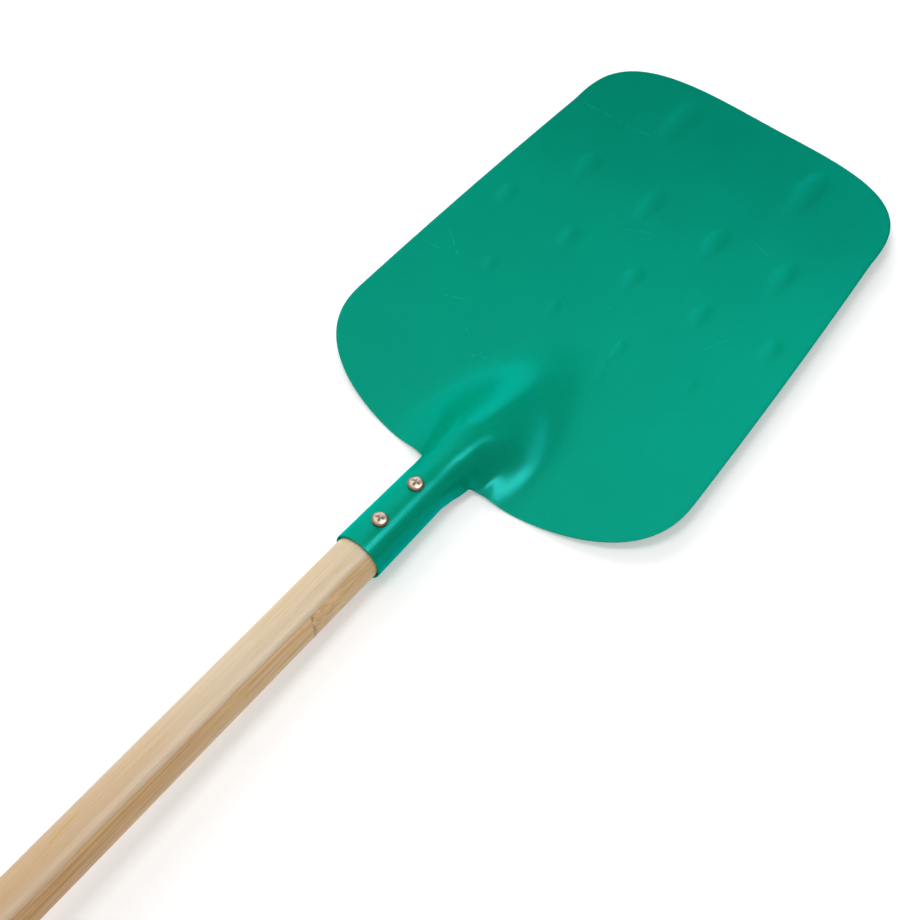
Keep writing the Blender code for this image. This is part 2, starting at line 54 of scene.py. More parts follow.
# Blade outline
HEEL_Y = 0.0575
HEEL_CORNER_Y = 0.1064
HEEL_POWER = 2.45
TIP_Y = 0.3140
TIP_CORNER_Y = 0.262
TIP_POWER = 2.89
SIDE_BOW = 0.0008

# Socket
SOCKET_LEAN = math.radians(4.455)
SOCKET_TAPER = 0.0145
MOUTH_HEIGHT = 0.0141
SEAM_GAP = 0.0018
SEAM_LENGTH = 0.034
SEAM_OPEN_Y = 0.047
MORPH_START = 0.041

# Waist between the socket and the blade
WAIST_Y = 0.0554
WAIST_HALF_WIDTH = 0.0131
WAIST_CORNER = 0.45
SHOULDER_START = 0.019

# Frog, first part: a low mound that spreads round the socket's end, with a round nose
MOUND_HALF_WIDTH = 0.04778
MOUND_ROUND_Y = 0.06346
MOUND_LENGTH = 0.08971
SIDE_ROUNDNESS = 2.44
SIDE_POWER = 7.37
NOSE_ROUNDNESS = 1.55
NOSE_POWER = 2.60
APRON_SHARE = 0.381

# Frog, second part: the ridge that carries the socket's front line out, flattening as it spreads
RIDGE_HALF_WIDTH = 0.01214
RIDGE_SPREAD = 0.00450
RIDGE_SPREAD_Y = 0.06129
RIDGE_OPEN_Y = 0.09075
RIDGE_FLAT_Y = 0.06934
RIDGE_FLATNESS = 2.25
RIDGE_POWER = 0.88
RIDGE_FOOT = 0.126
CREST_SOFTNESS = 0.00040

# Frog, third part: a shallow valley round the foot of the ridge
VALLEY_DEPTH = 0.00387
VALLEY_HALF_WIDTH = 0.01472
VALLEY_ROUND_Y = 0.05316
VALLEY_LENGTH = 0.04088
VALLEY_SPREAD = 0.261
VALLEY_END_Y = 0.07831

# Raised drops: head y, length, width, height, places across in pitches
DROP_PITCH = 0.0368
DROP_ROWS = (
    (0.3035, 0.0430, 0.0150, 0.00060, (-1.0, 1.0)),
    (0.2445, 0.0275, 0.0115, 0.00050, (-1.5, -0.5, 0.5, 1.5)),
    (0.2015, 0.0215, 0.0095, 0.00045, (-2.0, -1.0, 0.0, 1.0, 2.0)),
    (0.1620, 0.0140, 0.0070, 0.00030, (-1.5, -0.5, 0.5, 1.5)),
)

# Fineness of the meshes, with the blade's rows wider apart past the frog
SOCKET_COLUMNS = 64
SOCKET_ROWS = 52
HEEL_COLUMNS = 56
BLADE_ROWS = 216
ROW_WIDENING = 0.6
ROW_WIDENING_FROM = 0.38
ROW_WIDENING_REACH = 0.2
RIM_STEPS = 4
OUTLINE_POINTS = 400
FILLET_POINTS = 40

# Handle
FIT_GAP = 0.0003
HANDLE_END_ROUND = 0.003
TENON_DEPTH = 0.044
TENON_CHAMFER = 0.001
HANDLE_SIDES = 128
END_FACE_RINGS = 8
END_ROUND_RINGS = 12
ROD_RINGS = 120
TENON_RINGS = 30

# Screws
SCREW_PLACES = {"socket_screw_outer": 0.0139, "socket_screw_inner": 0.0362}
SCREW_TURNS = {"socket_screw_outer": math.radians(20), "socket_screw_inner": math.radians(5)}
SCREW_SIDES = 128
HEAD_HEIGHT = 0.0022
HEAD_RIM = 0.0007
HEAD_RIM_EDGE = 0.45
HEAD_SEAT_RINGS = 6
DOME_RINGS = 60
DOME_WIDTH_POWER = 0.9
DOME_HEIGHT_POWER = 1.1
SHARP_EDGE = math.radians(45)
CORE_RADIUS = 0.0012
THREAD_RADIUS = 0.00175
THREAD_PITCH = 0.0013
THREAD_HALF_CREST = 0.22
THREAD_POINT = 0.0035
THREAD_ROWS = 110
POINT_ROWS = 12
POINT_POWER = 1.2
POINT_BLUNTNESS = 0.04
RECESS_WIDTH = 0.0012
RECESS_SPAN = 0.0040
RECESS_DEPTH = 0.0013
RECESS_WALL = 0.00018
RECESS_NARROWING = 0.35
RECESS_FLOOR_POWER = 0.7

# Enamel: a noise is scale per millimetre, detail and roughness, and spots are scale, core and rim
NOISE_MIDDLE = (0.3, 0.7)
CLOUD_NOISE = (0.018, 2.0)
MOTTLE_NOISE = (0.35, 4.0, 0.6)
CLOUD_SHARE, MOTTLE_SHARE = 0.7, 0.3
TONE_SPREAD = (0.965, 1.035)
# Painted shade: the enamel darkens towards the tip between these distances in millimetres, by this factor
TIP_PAINTED_SHADE_REACH = (190.0, 300.0)
TIP_PAINTED_SHADE = (0.8, 0.8, 0.8)
DUST_SPOTS = (0.11, 0.018, 0.03)
LINT_SPOTS = (0.07, 0.01, 0.02)
LINT_STRETCH = (1.0, 0.25, 1.0)
BREAK_NOISE = (0.45, 3.0, 0.7)
BREAK_RISE = (0.40, 0.58)
SCRATCH_SOFTNESS = 0.15
LIGHT_GAIN, LIGHT_LIFT, DARK_GAIN = 1.3, 0.01, 0.72
LIGHT_MARKS, DARK_MARKS, DUST_MARKS, LINT_MARKS = 0.35, 0.6, 0.4, 0.3
ENAMEL_ROUGHNESS = 0.24
GLOSS_NOISE = (0.06, 3.0)
GLOSS_SPREAD = (0.9, 1.12)
SCRATCH_DULLNESS = 0.15
PEEL_NOISE = (0.55, 2.0)
PEEL_RELIEF, DUST_RELIEF, SCRATCH_RELIEF = 0.12, 0.25, 0.18
ENAMEL_RELIEF = 0.00006
SCRATCHES_AND_FOLD_SHADING = (
    # from, to, half width, light 1 or dark 0, all in millimetres of the blade's frame
    ((-79.2, 263.3), (-43.0, 269.4), 0.10, 1),
    ((-82.6, 159.5), (-75.7, 155.2), 0.16, 1),
    ((-75.7, 155.2), (-67.7, 149.4), 0.16, 1),
    ((-86.0, 145.5), (-77.5, 147.0), 0.12, 1),
    ((-60.0, 129.0), (-52.0, 133.5), 0.14, 1),
    # These two are a painted highlight and painted shade on the two sides of a fold in the sheet near the
    # frog, not scratch marks
    ((16.7, 159.1), (17.6, 150.0), 0.35, 1),
    ((17.6, 150.0), (24.0, 134.0), 0.40, 0),
    ((48.0, 176.0), (55.0, 190.0), 0.10, 1),
    ((-20.0, 214.0), (-8.0, 221.0), 0.09, 1),
    ((30.0, 246.0), (43.0, 242.0), 0.09, 1),
)
SPECKS = (
    # place, length, light 1 or dark 0
    ((-41.1, 121.7), 0.35, 1),
    ((-30.3, 112.7), 0.40, 1),
    ((-25.4, 115.1), 0.45, 1),
    ((-28.3, 115.9), 0.30, 1),
    ((-16.4, 161.1), 0.45, 1),
    ((1.4, 172.7), 0.40, 1),
    ((3.0, 103.7), 0.35, 0),
    ((4.9, 107.0), 0.60, 0),
    ((24.6, 59.6), 1.10, 0),
    ((89.8, 138.0), 0.60, 0),
)

# Bamboo, in millimetres from the mouth: a grain is scale across and along, detail, roughness, distortion
STRIP_ACROSS = (0.934, 0.0, -0.358)
STRIP_DEPTH = (0.358, 0.0, 0.934)
GLUE_ACROSS, ACROSS_EASE = 3.0, 0.12
GLUE_DEPTH, DEPTH_EASE = -3.2, 0.08
GLUE_LINE = (0.05, 0.22)
GLUE_STRENGTH = 0.35
WAVER_GRAIN = (0.0, 0.045, 2.0)
WAVER_WIDTH = 1.6
STRIP_SHIFT = (37.0, 211.0)
FIBRE_LAYERS = {
    # grain, the part of it that shows, strength
    "tone": ((0.16, 0.010, 2.0), (0.4, 0.68), 0.45),
    "bundles": ((1.25, 0.014, 2.0, 0.6, 0.15), (0.53, 0.62), 0.5),
    "streaks": ((2.4, 0.030, 2.0, 0.6), (0.53, 0.60), 0.62),
    "fibres": ((7.0, 0.12, 3.0, 0.7), (0.45, 0.7), 0.16),
}
PALE_GAIN = 1.06
NODE_PLACES = (-262.0, -33.5, -118.0, -330.0)
NODE_SLANT = 0.35
NODE_EDGE = 0.3
NODE_HALVING = 8.0
NODE_BEND = 2.4
CROSSING_GRAIN = (1.9, 0.02)
BROKEN_RISE, BROKEN_STRENGTH = (0.45, 0.6), 0.75
ENDS_RISE, ENDS_STRENGTH = (0.46, 0.56), 0.8
ENDS_LINE = (0.5, 0.35, 1.1)
FLECK_GRAIN, FLECK_RISE = (1.6, 0.16), (0.68, 0.74)
CLUSTER_GRAIN, CLUSTER_RISE = (0.05, 0.03), (0.5, 0.62)
FLECK_STRENGTH = 0.55
ORANGE_STREAK = ((-6.6, -143.0), (-6.1, -157.0), 0.16, 0.25)
ORANGE_STRENGTH = 0.6
# Painted shade and a warmer bamboo tone towards the far end, between these distances in millimetres
FAR_TINT_AND_SHADE_REACH = (-200.0, -40.0)
BAMBOO_GLOSS = (0.38, 0.52)
GRAIN_RELIEF, ENDS_RELIEF = 0.5, 0.6
BAMBOO_RELIEF = 0.00008

# Nickel: painted shade everywhere but a bright face on the domed top; the face's half width and softness,
# length, and heights over the seat, in millimetres
BRIGHT_FACE = (2.0, 1.2)
BRIGHT_LENGTH = 0.01
BRIGHT_LOW, BRIGHT_HIGH = 0.7, 1.5
PLATE_NOISE = (0.9, 3.0)
PLATE_LOW = 0.86
FINE_NOISE = (9.0, 3.0, 0.6)
NICKEL_GLOSS = (0.2, 0.34)
NICKEL_RELIEF = 0.00002

# Camera, in the blade's own frame
CAMERA_PLACE = (0.18732, -0.16891, 0.51307)
CAMERA_YAW = math.radians(-38.615)
CAMERA_PITCH = math.radians(59.502)
SENSOR_WIDTH = 36.0
FOCAL_PIXELS, PICTURE_PIXELS = 1394.7, 920.0

# Light
FLOOR_REACH = 30.0
FLOOR_TONE = 0.95
FLOOR_LIFT = 0.35
FLOOR_MIRROR_LIFT = 0.3
WORLD_LIGHT = 0.46
WALL_SIDE = (-0.55, -0.75, 0.36)
WALL_FADE = (-0.08, 0.13)
WALL_LIGHT = (0.60, 1.62)
LAMP_TARGET = (0.0, 0.1, 0.0)
LAMPS = (
    # name, direction, way of its length, distance, size, power, seen in mirrors or lighting matt surfaces
    ("strip", (0.43, 0.14, 0.89), (0.0, 1.0, 0.0), 1.8, (1.2, 0.62), 15.5, True),
    ("strip_far", (0.42, 0.58, 0.69), (0.0, 1.0, -0.8), 1.8, (0.85, 0.60), 2.8, True),
    ("window", (-0.48, 0.83, 0.29), (1.0, 0.6, 0.0), 1.8, (0.9, 0.9), 3.6, True),
    ("softbox", (-0.60, 0.57, 0.56), (0.64, 0.77, 0.0), 3.6, (2.2, 2.2), 54.0, False),
    ("near_softbox", (-0.08, -0.17, 0.98), (0.0, 1.0, 0.0), 0.75, (0.24, 0.24), 1.55, False),
)


def smoothstep(t):
    """Cubic ease from 0 to 1."""
    t = np.clip(t, 0.0, 1.0)
    return t * t * (3.0 - 2.0 * t)


def soft_floor(value, reach):
    """Value where it is well over zero, easing to zero below: (v + sqrt(v^2 + 4 r^2)) / 2."""
    return 0.5 * (value + np.sqrt(value * value + 4.0 * reach * reach))


def resting_frame():
    """Matrix from the blade's own frame to the world."""
    return Matrix.Translation(REST_PLACE) @ Matrix.Rotation(REST_TILT, 4, "X")


def to_world(points):
    """Points of the blade's own frame, in world coordinates."""
    turn = np.array(resting_frame())
    return points @ turn[:3, :3].T + turn[:3, 3]


class SheetShape:
    """Front surface of the pressed sheet as formulas in the blade's own frame."""

    def __init__(self, sizes):
        self.sheet = sizes.sheet
        self.heel = sizes.heel_width / 2.0
        self.tip = sizes.tip_width / 2.0
        self.dish = sizes.dish_radius
        self.socket = sizes.socket_width / 2.0
        self.mound = sizes.mound_height
        self.drops = sizes.drop_relief

    def socket_radius(self, along):
        """Outer radius of the tapered socket."""
        return self.socket - SOCKET_TAPER * along

    def socket_point(self, along, angle, radius):
        """Point round the leaning socket axis: angle 0 is the front line."""
        x = radius * np.sin(angle)
        y = along * math.cos(SOCKET_LEAN) + radius * np.cos(angle) * math.sin(SOCKET_LEAN)
        z = MOUTH_HEIGHT - along * math.sin(SOCKET_LEAN) + radius * np.cos(angle) * math.cos(SOCKET_LEAN)
        return np.stack((x, y, z), axis=-1)

    def crest(self, y):
        """Height of the socket's front line, carried straight on over the blade."""
        mouth = self.socket_point(0.0, 0.0, self.socket_radius(0.0))
        waist = self.socket_point(WAIST_Y, 0.0, self.socket_radius(WAIST_Y))
        return mouth[2] + (waist[2] - mouth[2]) * (y - mouth[1]) / (waist[1] - mouth[1])

    def mound_height(self, x, y):
        """Mound m (1 - r^n)^p with r^2 = (x/a)^2 + (y/b)^2, where n and p turn from side to nose values."""
        beyond = np.clip(y - MOUND_ROUND_Y, 0.0, None) / MOUND_LENGTH
        squared = (x / MOUND_HALF_WIDTH) ** 2 + beyond ** 2
        nose = beyond ** 2 / np.clip(squared, 1e-6, None)
        roundness = SIDE_ROUNDNESS + (NOSE_ROUNDNESS - SIDE_ROUNDNESS) * nose
        power = SIDE_POWER + (NOSE_POWER - SIDE_POWER) * nose
        return self.mound * np.clip(1.0 - squared ** (roundness / 2.0), 0.0, 1.0) ** power

    def ridge_section(self, x, y):
        """Share of the ridge's height across it: (1 - |x/w|^n)^q, round at the waist, flatter further on."""
        spread = smoothstep((y - WAIST_Y) / (RIDGE_SPREAD_Y - WAIST_Y))
        flat = smoothstep((y - WAIST_Y) / (RIDGE_FLAT_Y - WAIST_Y))
        half_width = RIDGE_HALF_WIDTH + RIDGE_SPREAD * spread
        reach = np.abs(x / half_width) ** (2.0 + (RIDGE_FLATNESS - 2.0) * flat)
        section = soft_floor(1.0 - reach, RIDGE_FOOT) / soft_floor(1.0, RIDGE_FOOT)
        return section ** (0.5 + (RIDGE_POWER - 0.5) * spread)

    def valley(self, x, y):
        """Valley g exp(-((r - 1) / s)^2) along the ellipse r = 1, fading towards the tip."""
        beyond = np.clip(y - VALLEY_ROUND_Y, 0.0, None) / VALLEY_LENGTH
        radius = np.hypot(x / VALLEY_HALF_WIDTH, beyond)
        fading = 1.0 - smoothstep((y - VALLEY_ROUND_Y) / (VALLEY_END_Y - VALLEY_ROUND_Y))
        return VALLEY_DEPTH * np.exp(-((radius - 1.0) / VALLEY_SPREAD) ** 2) * fading

    def frog(self, x, y):
        """Mound, plus a ridge up to the lower of the socket's front line and the mound, less the valley."""
        middle = self.mound_height(np.zeros_like(x), y)
        opened = smoothstep((y - WAIST_Y) / (RIDGE_OPEN_Y - WAIST_Y))
        share = APRON_SHARE + (1.0 - APRON_SHARE) * opened
        front_line = self.crest(np.minimum(y, MOUND_ROUND_Y + MOUND_LENGTH))
        top = front_line - soft_floor(front_line - middle, CREST_SOFTNESS)
        ridge = top - middle * share
        return self.mound_height(x, y) * share + ridge * self.ridge_section(x, y) - self.valley(x, y)

    def drop(self, x, y):
        """Sum of the drops: height times G^1.5, with G = 6.75 t^2 (1 - t) - (2 x / width)^2."""
        total = np.zeros_like(x)
        for head_y, length, width, height, places in DROP_ROWS:
            t = np.clip((y - head_y + length) / length, 0.0, 1.0)
            for place in places:
                bump = 6.75 * t * t * (1.0 - t) - (2.0 * (x - place * DROP_PITCH) / width) ** 2
                total += height * np.clip(bump, 0.0, 1.0) ** 1.5
        return total * self.drops

    def height(self, x, y):
        """Height of the blade's front: the dish x^2 / 2R, plus the frog and the drops."""
        return x * x / (2.0 * self.dish) + self.frog(x, y) + self.drop(x, y)

    def waist_section(self):
        """Table of x and arc length across the ridge at the waist, from the crest outwards."""
        x = np.linspace(0.0, WAIST_HALF_WIDTH - self.sheet / 2.0, OUTLINE_POINTS)
        z = self.height(x, np.full_like(x, WAIST_Y))
        return x, np.concatenate(([0.0], np.cumsum(np.hypot(np.diff(x), np.diff(z)))))

    def socket_rows(self):
        """Grid over the socket: the rolled tube, eased into the ridge's section at the waist."""
        along = np.linspace(self.sheet / 2.0, WAIST_Y, SOCKET_ROWS + 1)[:, None]
        share = np.linspace(-1.0, 1.0, SOCKET_COLUMNS + 1)[None, :]
        x, table = self.waist_section()
        radius = self.socket_radius(along)
        closed = math.pi * radius - SEAM_GAP / 2.0 - self.sheet / 2.0
        opening = smoothstep((along - SEAM_LENGTH) / (SEAM_OPEN_Y - SEAM_LENGTH))
        arc = share * (closed + (table[-1] - closed) * opening)
        tube = self.socket_point(along, arc / radius, radius)
        ridge_x = np.sign(arc) * np.interp(np.abs(arc), table, x)
        overrun = np.clip(np.abs(arc) - table[-1], 0.0, None) * np.sign(arc)
        ridge_y = np.broadcast_to(along, ridge_x.shape)
        ridge = np.stack((ridge_x + overrun, ridge_y, self.height(ridge_x, ridge_y)), axis=-1)
        ease = smoothstep((along - MORPH_START) / (WAIST_Y - MORPH_START))[..., None]
        return tube + (ridge - tube) * ease

    def heel_curve(self):
        """Plan of the heel, waist to middle of the heel corner: a fillet, then a superellipse."""
        depth = HEEL_CORNER_Y - HEEL_Y
        start = math.acos((SHOULDER_START / self.heel) ** (HEEL_POWER / 2.0))
        angle = np.linspace(start, math.pi / 4.0, OUTLINE_POINTS)
        heel = superellipse(angle, self.heel, -depth, HEEL_POWER, HEEL_CORNER_Y)
        t = np.linspace(0.0, 1.0, FILLET_POINTS)[:-1, None]
        waist = np.array((WAIST_HALF_WIDTH, WAIST_Y))
        corner = np.array((waist[0] + WAIST_CORNER * (heel[0, 1] - waist[1]), heel[0, 1]))
        fillet = waist * (1 - t) ** 2 + corner * 2 * t * (1 - t) + heel[0] * t * t
        return np.concatenate((fillet, heel))

    def side_curve(self):
        """Plan of the side, from the middle of the heel corner to the middle of the tip corner."""
        turn = np.linspace(math.pi / 4.0, 0.0, OUTLINE_POINTS)
        heel = superellipse(turn, self.heel, HEEL_Y - HEEL_CORNER_Y, HEEL_POWER, HEEL_CORNER_Y)
        y = np.linspace(HEEL_CORNER_Y, TIP_CORNER_Y, OUTLINE_POINTS)[1:-1]
        t = (y - HEEL_CORNER_Y) / (TIP_CORNER_Y - HEEL_CORNER_Y)
        x = self.heel + (self.tip - self.heel) * t + 4.0 * SIDE_BOW * t * (1.0 - t)
        tip = superellipse(turn[::-1], self.tip, TIP_Y - TIP_CORNER_Y, TIP_POWER, TIP_CORNER_Y)
        return np.concatenate((heel, np.stack((x, y), axis=1), tip))

    def tip_curve(self):
        """Plan of the tip, from the middle of its right corner to the middle of its left corner."""
        turn = np.linspace(math.pi / 4.0, math.pi / 2.0, OUTLINE_POINTS)
        right = superellipse(turn, self.tip, TIP_Y - TIP_CORNER_Y, TIP_POWER, TIP_CORNER_Y)
        return np.concatenate((right, (right * (-1.0, 1.0))[-2::-1]))

    def blade_rows(self, waist_row):
        """Grid over the blade: four plan curves blended as a Coons patch, lifted to the blade's height."""
        inset = self.sheet / 2.0
        heel = resample(pull_in(self.heel_curve(), inset), np.linspace(0.0, 1.0, HEEL_COLUMNS + 1))
        rows = np.linspace(0.0, 1.0, BLADE_ROWS)
        rows = np.cumsum(1.0 + ROW_WIDENING * smoothstep((rows - ROW_WIDENING_FROM) / ROW_WIDENING_REACH))
        v = np.concatenate(([0.0], rows / rows[-1]))
        right = resample(pull_in(self.side_curve(), inset), v)
        columns = SOCKET_COLUMNS + 2 * HEEL_COLUMNS
        u = np.linspace(0.0, 1.0, columns + 1)
        tip = resample(pull_in(self.tip_curve(), inset), u)[::-1]
        heel[0] = waist_row[-1, :2]
        bottom = np.concatenate(((heel * (-1.0, 1.0))[:0:-1], waist_row[:, :2], heel[1:]))
        right[0], right[-1] = bottom[-1], tip[-1]
        left = right * (-1.0, 1.0)
        u, v = u[None, :, None], v[:, None, None]
        patch = (1 - v) * bottom[None] + v * tip[None] + (1 - u) * left[:, None] + u * right[:, None]
        patch -= (1 - v) * ((1 - u) * bottom[0] + u * bottom[-1]) + v * ((1 - u) * tip[0] + u * tip[-1])
        return np.concatenate((patch, self.height(patch[..., 0], patch[..., 1])[..., None]), axis=2)


def superellipse(angle, half_width, depth, power, centre_y):
    """Points w cos^(2/p), centre + d sin^(2/p)."""
    x = half_width * np.cos(angle).clip(0.0) ** (2.0 / power)
    y = centre_y + depth * np.sin(angle) ** (2.0 / power)
    return np.stack((x, y), axis=1)


def resample(points, shares):
    """Points at the given shares of a curve's length."""
    length = np.concatenate(([0.0], np.cumsum(np.linalg.norm(np.diff(points, axis=0), axis=1))))
    length /= length[-1]
    return np.stack([np.interp(shares, length, points[:, axis]) for axis in (0, 1)], axis=1)


def pull_in(points, inset):
    """Plan curve moved to its left by the inset."""
    step = np.gradient(points, axis=0)
    step /= np.linalg.norm(step, axis=1)[:, None]
    return points + inset * np.stack((-step[:, 1], step[:, 0]), axis=1)


def grid_faces(index):
    """Quads of a grid of vertex numbers, in rows that run upwards."""
    return np.stack((index[:-1, :-1], index[:-1, 1:], index[1:, 1:], index[1:, :-1]), axis=-1).reshape(-1, 4)


def ring_faces(low, high):
    """Quads between two closed rings of vertex numbers."""
    return np.stack((low, np.roll(low, -1), np.roll(high, -1), high), axis=1)


def vertex_normals(points, faces):
    """Unit normals: the sum of the crossed diagonals of the quads round each vertex."""
    corner = points[faces]
    across = np.cross(corner[:, 2] - corner[:, 0], corner[:, 3] - corner[:, 1])
    normal = np.zeros_like(points)
    for column in range(4):
        np.add.at(normal, faces[:, column], across)
    return normal / np.linalg.norm(normal, axis=1)[:, None]


def make_piece(name, points, quads, triangles, material, node):
    """Smooth-shaded mesh that rides on the root body and stands for its CAD node."""
    mesh = bpy.data.meshes.new(name)
    faces = quads.tolist() + triangles.tolist()
    mesh.from_pydata(points.tolist(), [], faces)
    mesh.update()
    mesh.shade_smooth()
    mesh.materials.append(material)
    piece = bpy.data.objects.new(name, mesh)
    bpy.context.scene.collection.objects.link(piece)
    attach(piece, "root")
    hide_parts(node)
    return piece


def make_sheet(sizes, material):
    """Front grid, back grid a sheet's thickness behind it, and a half-round rim between them."""
    shape = SheetShape(sizes)
    socket = shape.socket_rows()
    blade = shape.blade_rows(socket[-1])
    socket = socket[:-1]
    front = np.concatenate((socket.reshape(-1, 3), blade.reshape(-1, 3)))
    socket_index = np.arange(socket.shape[0] * socket.shape[1]).reshape(socket.shape[:2])
    blade_index = socket_index.size + np.arange(blade.shape[0] * blade.shape[1]).reshape(blade.shape[:2])
    first, last = HEEL_COLUMNS, HEEL_COLUMNS + SOCKET_COLUMNS
    lower = np.concatenate((socket_index, blade_index[:1, first:last + 1]))
    faces = np.concatenate((grid_faces(lower), grid_faces(blade_index)))
    loop = np.concatenate((
        socket_index[0],
        socket_index[1:, -1],
        blade_index[0, last:],
        blade_index[1:, -1],
        blade_index[-1, -2::-1],
        blade_index[-2::-1, 0],
        blade_index[0, 1:first + 1],
        socket_index[:0:-1, 0],
    ))
    normal = vertex_normals(front, faces)
    back = front - normal * shape.sheet
    along = np.roll(front[loop], -1, axis=0) - np.roll(front[loop], 1, axis=0)
    outwards = np.cross(along, normal[loop])
    outwards /= np.linalg.norm(outwards, axis=1)[:, None]
    middle = front[loop] - normal[loop] * shape.sheet / 2.0
    rings = [loop]
    points = [front, back]
    count = 2 * len(front)
    for step in range(1, RIM_STEPS):
        turn = math.pi * step / RIM_STEPS
        reach = math.cos(turn) * normal[loop] + math.sin(turn) * outwards
        points.append(middle + reach * shape.sheet / 2.0)
        rings.append(count + np.arange(len(loop)))
        count += len(loop)
    rings.append(loop + len(front))
    rim = [ring_faces(low, high)[:, ::-1] for low, high in zip(rings[:-1], rings[1:])]
    quads = np.concatenate([faces, faces[:, ::-1] + len(front)] + rim)
    none = np.zeros((0, 3), dtype=int)
    return make_piece("sheet", to_world(np.concatenate(points)), quads, none, material,
                      "blade_and_socket")


def turned_piece(radius, height):
    """Closed body of revolution from ring-by-side radii and heights, with a pole at each end."""
    rings, sides = radius.shape
    angle = np.broadcast_to(np.linspace(0.0, 2.0 * math.pi, sides, endpoint=False), radius.shape)
    wall = np.stack((radius * np.cos(angle), radius * np.sin(angle), height), axis=-1).reshape(-1, 3)
    low_pole = (0.0, 0.0, height[0].mean())
    high_pole = (0.0, 0.0, height[-1].mean())
    points = np.concatenate((wall, (low_pole, high_pole)))
    index = np.arange(rings * sides).reshape(rings, sides)
    quads = np.concatenate([ring_faces(low, high) for low, high in zip(index[:-1], index[1:])])
    low = np.stack((np.roll(index[0], -1), index[0], np.full(sides, rings * sides)), axis=1)
    high = np.stack((index[-1], np.roll(index[-1], -1), np.full(sides, rings * sides + 1)), axis=1)
    return points, quads, np.concatenate((low, high))


def placed(points, matrix):
    """Points carried by a matrix of the blade's own frame, then to the world."""
    turn = np.array(matrix)
    return to_world(points @ turn[:3, :3].T + turn[:3, 3])


def make_handle(sizes, material):
    """Dowel: the rounded far end, a plain rod, and a taper that fills the socket."""
    radius = sizes.diameter / 2.0
    bore = sizes.socket_width / 2.0 - sizes.sheet - FIT_GAP
    turn = np.linspace(math.pi / 2.0, 0.0, END_ROUND_RINGS)
    end_radius = radius - HANDLE_END_ROUND * (1.0 - np.cos(turn))
    end_height = -sizes.length + HANDLE_END_ROUND * (1.0 - np.sin(turn))
    face_radius = np.linspace(0.05, 0.95, END_FACE_RINGS) * end_radius[0]
    rod_height = np.linspace(end_height[-1], (bore - radius) / SOCKET_TAPER, ROD_RINGS)[1:]
    rod_radius = np.full(len(rod_height), radius)
    tenon_height = np.linspace(rod_height[-1], TENON_DEPTH - TENON_CHAMFER, TENON_RINGS)[1:]
    tenon_radius = bore - SOCKET_TAPER * tenon_height
    nose_radius = np.array((tenon_radius[-1] - TENON_CHAMFER, 0.3 * radius))
    profile = np.concatenate((face_radius, end_radius, rod_radius, tenon_radius, nose_radius))
    height = np.concatenate((
        np.full(len(face_radius), -sizes.length), end_height, rod_height, tenon_height,
        np.full(2, TENON_DEPTH),
    ))
    sides = np.ones(HANDLE_SIDES)
    points, quads, triangles = turned_piece(np.outer(profile, sides), np.outer(height, sides))
    place = Matrix.Translation((0.0, 0.0, MOUTH_HEIGHT))
    place = place @ Matrix.Rotation(-SOCKET_LEAN - math.pi / 2.0, 4, "X")
    return make_piece("dowel", placed(points, place), quads, triangles, material,
                      "handle")


def recess(radius, angle, sizes):
    """Depth of the cross recess: two crossed slots that narrow and rise towards their ends."""
    x, y = radius * np.cos(angle), radius * np.sin(angle)
    reach = np.maximum(np.abs(x), np.abs(y)) / (RECESS_SPAN / 2.0)
    aside = np.minimum(np.abs(x), np.abs(y))
    half_width = RECESS_WIDTH / 2.0 * (1.0 - RECESS_NARROWING * np.clip(reach, 0.0, 1.0))
    wall = smoothstep((half_width - aside) / RECESS_WALL + 0.5)
    floor = RECESS_DEPTH * np.clip(1.0 - reach ** 2, 0.0, 1.0) ** RECESS_FLOOR_POWER
    return wall * floor * sizes.head_height / HEAD_HEIGHT


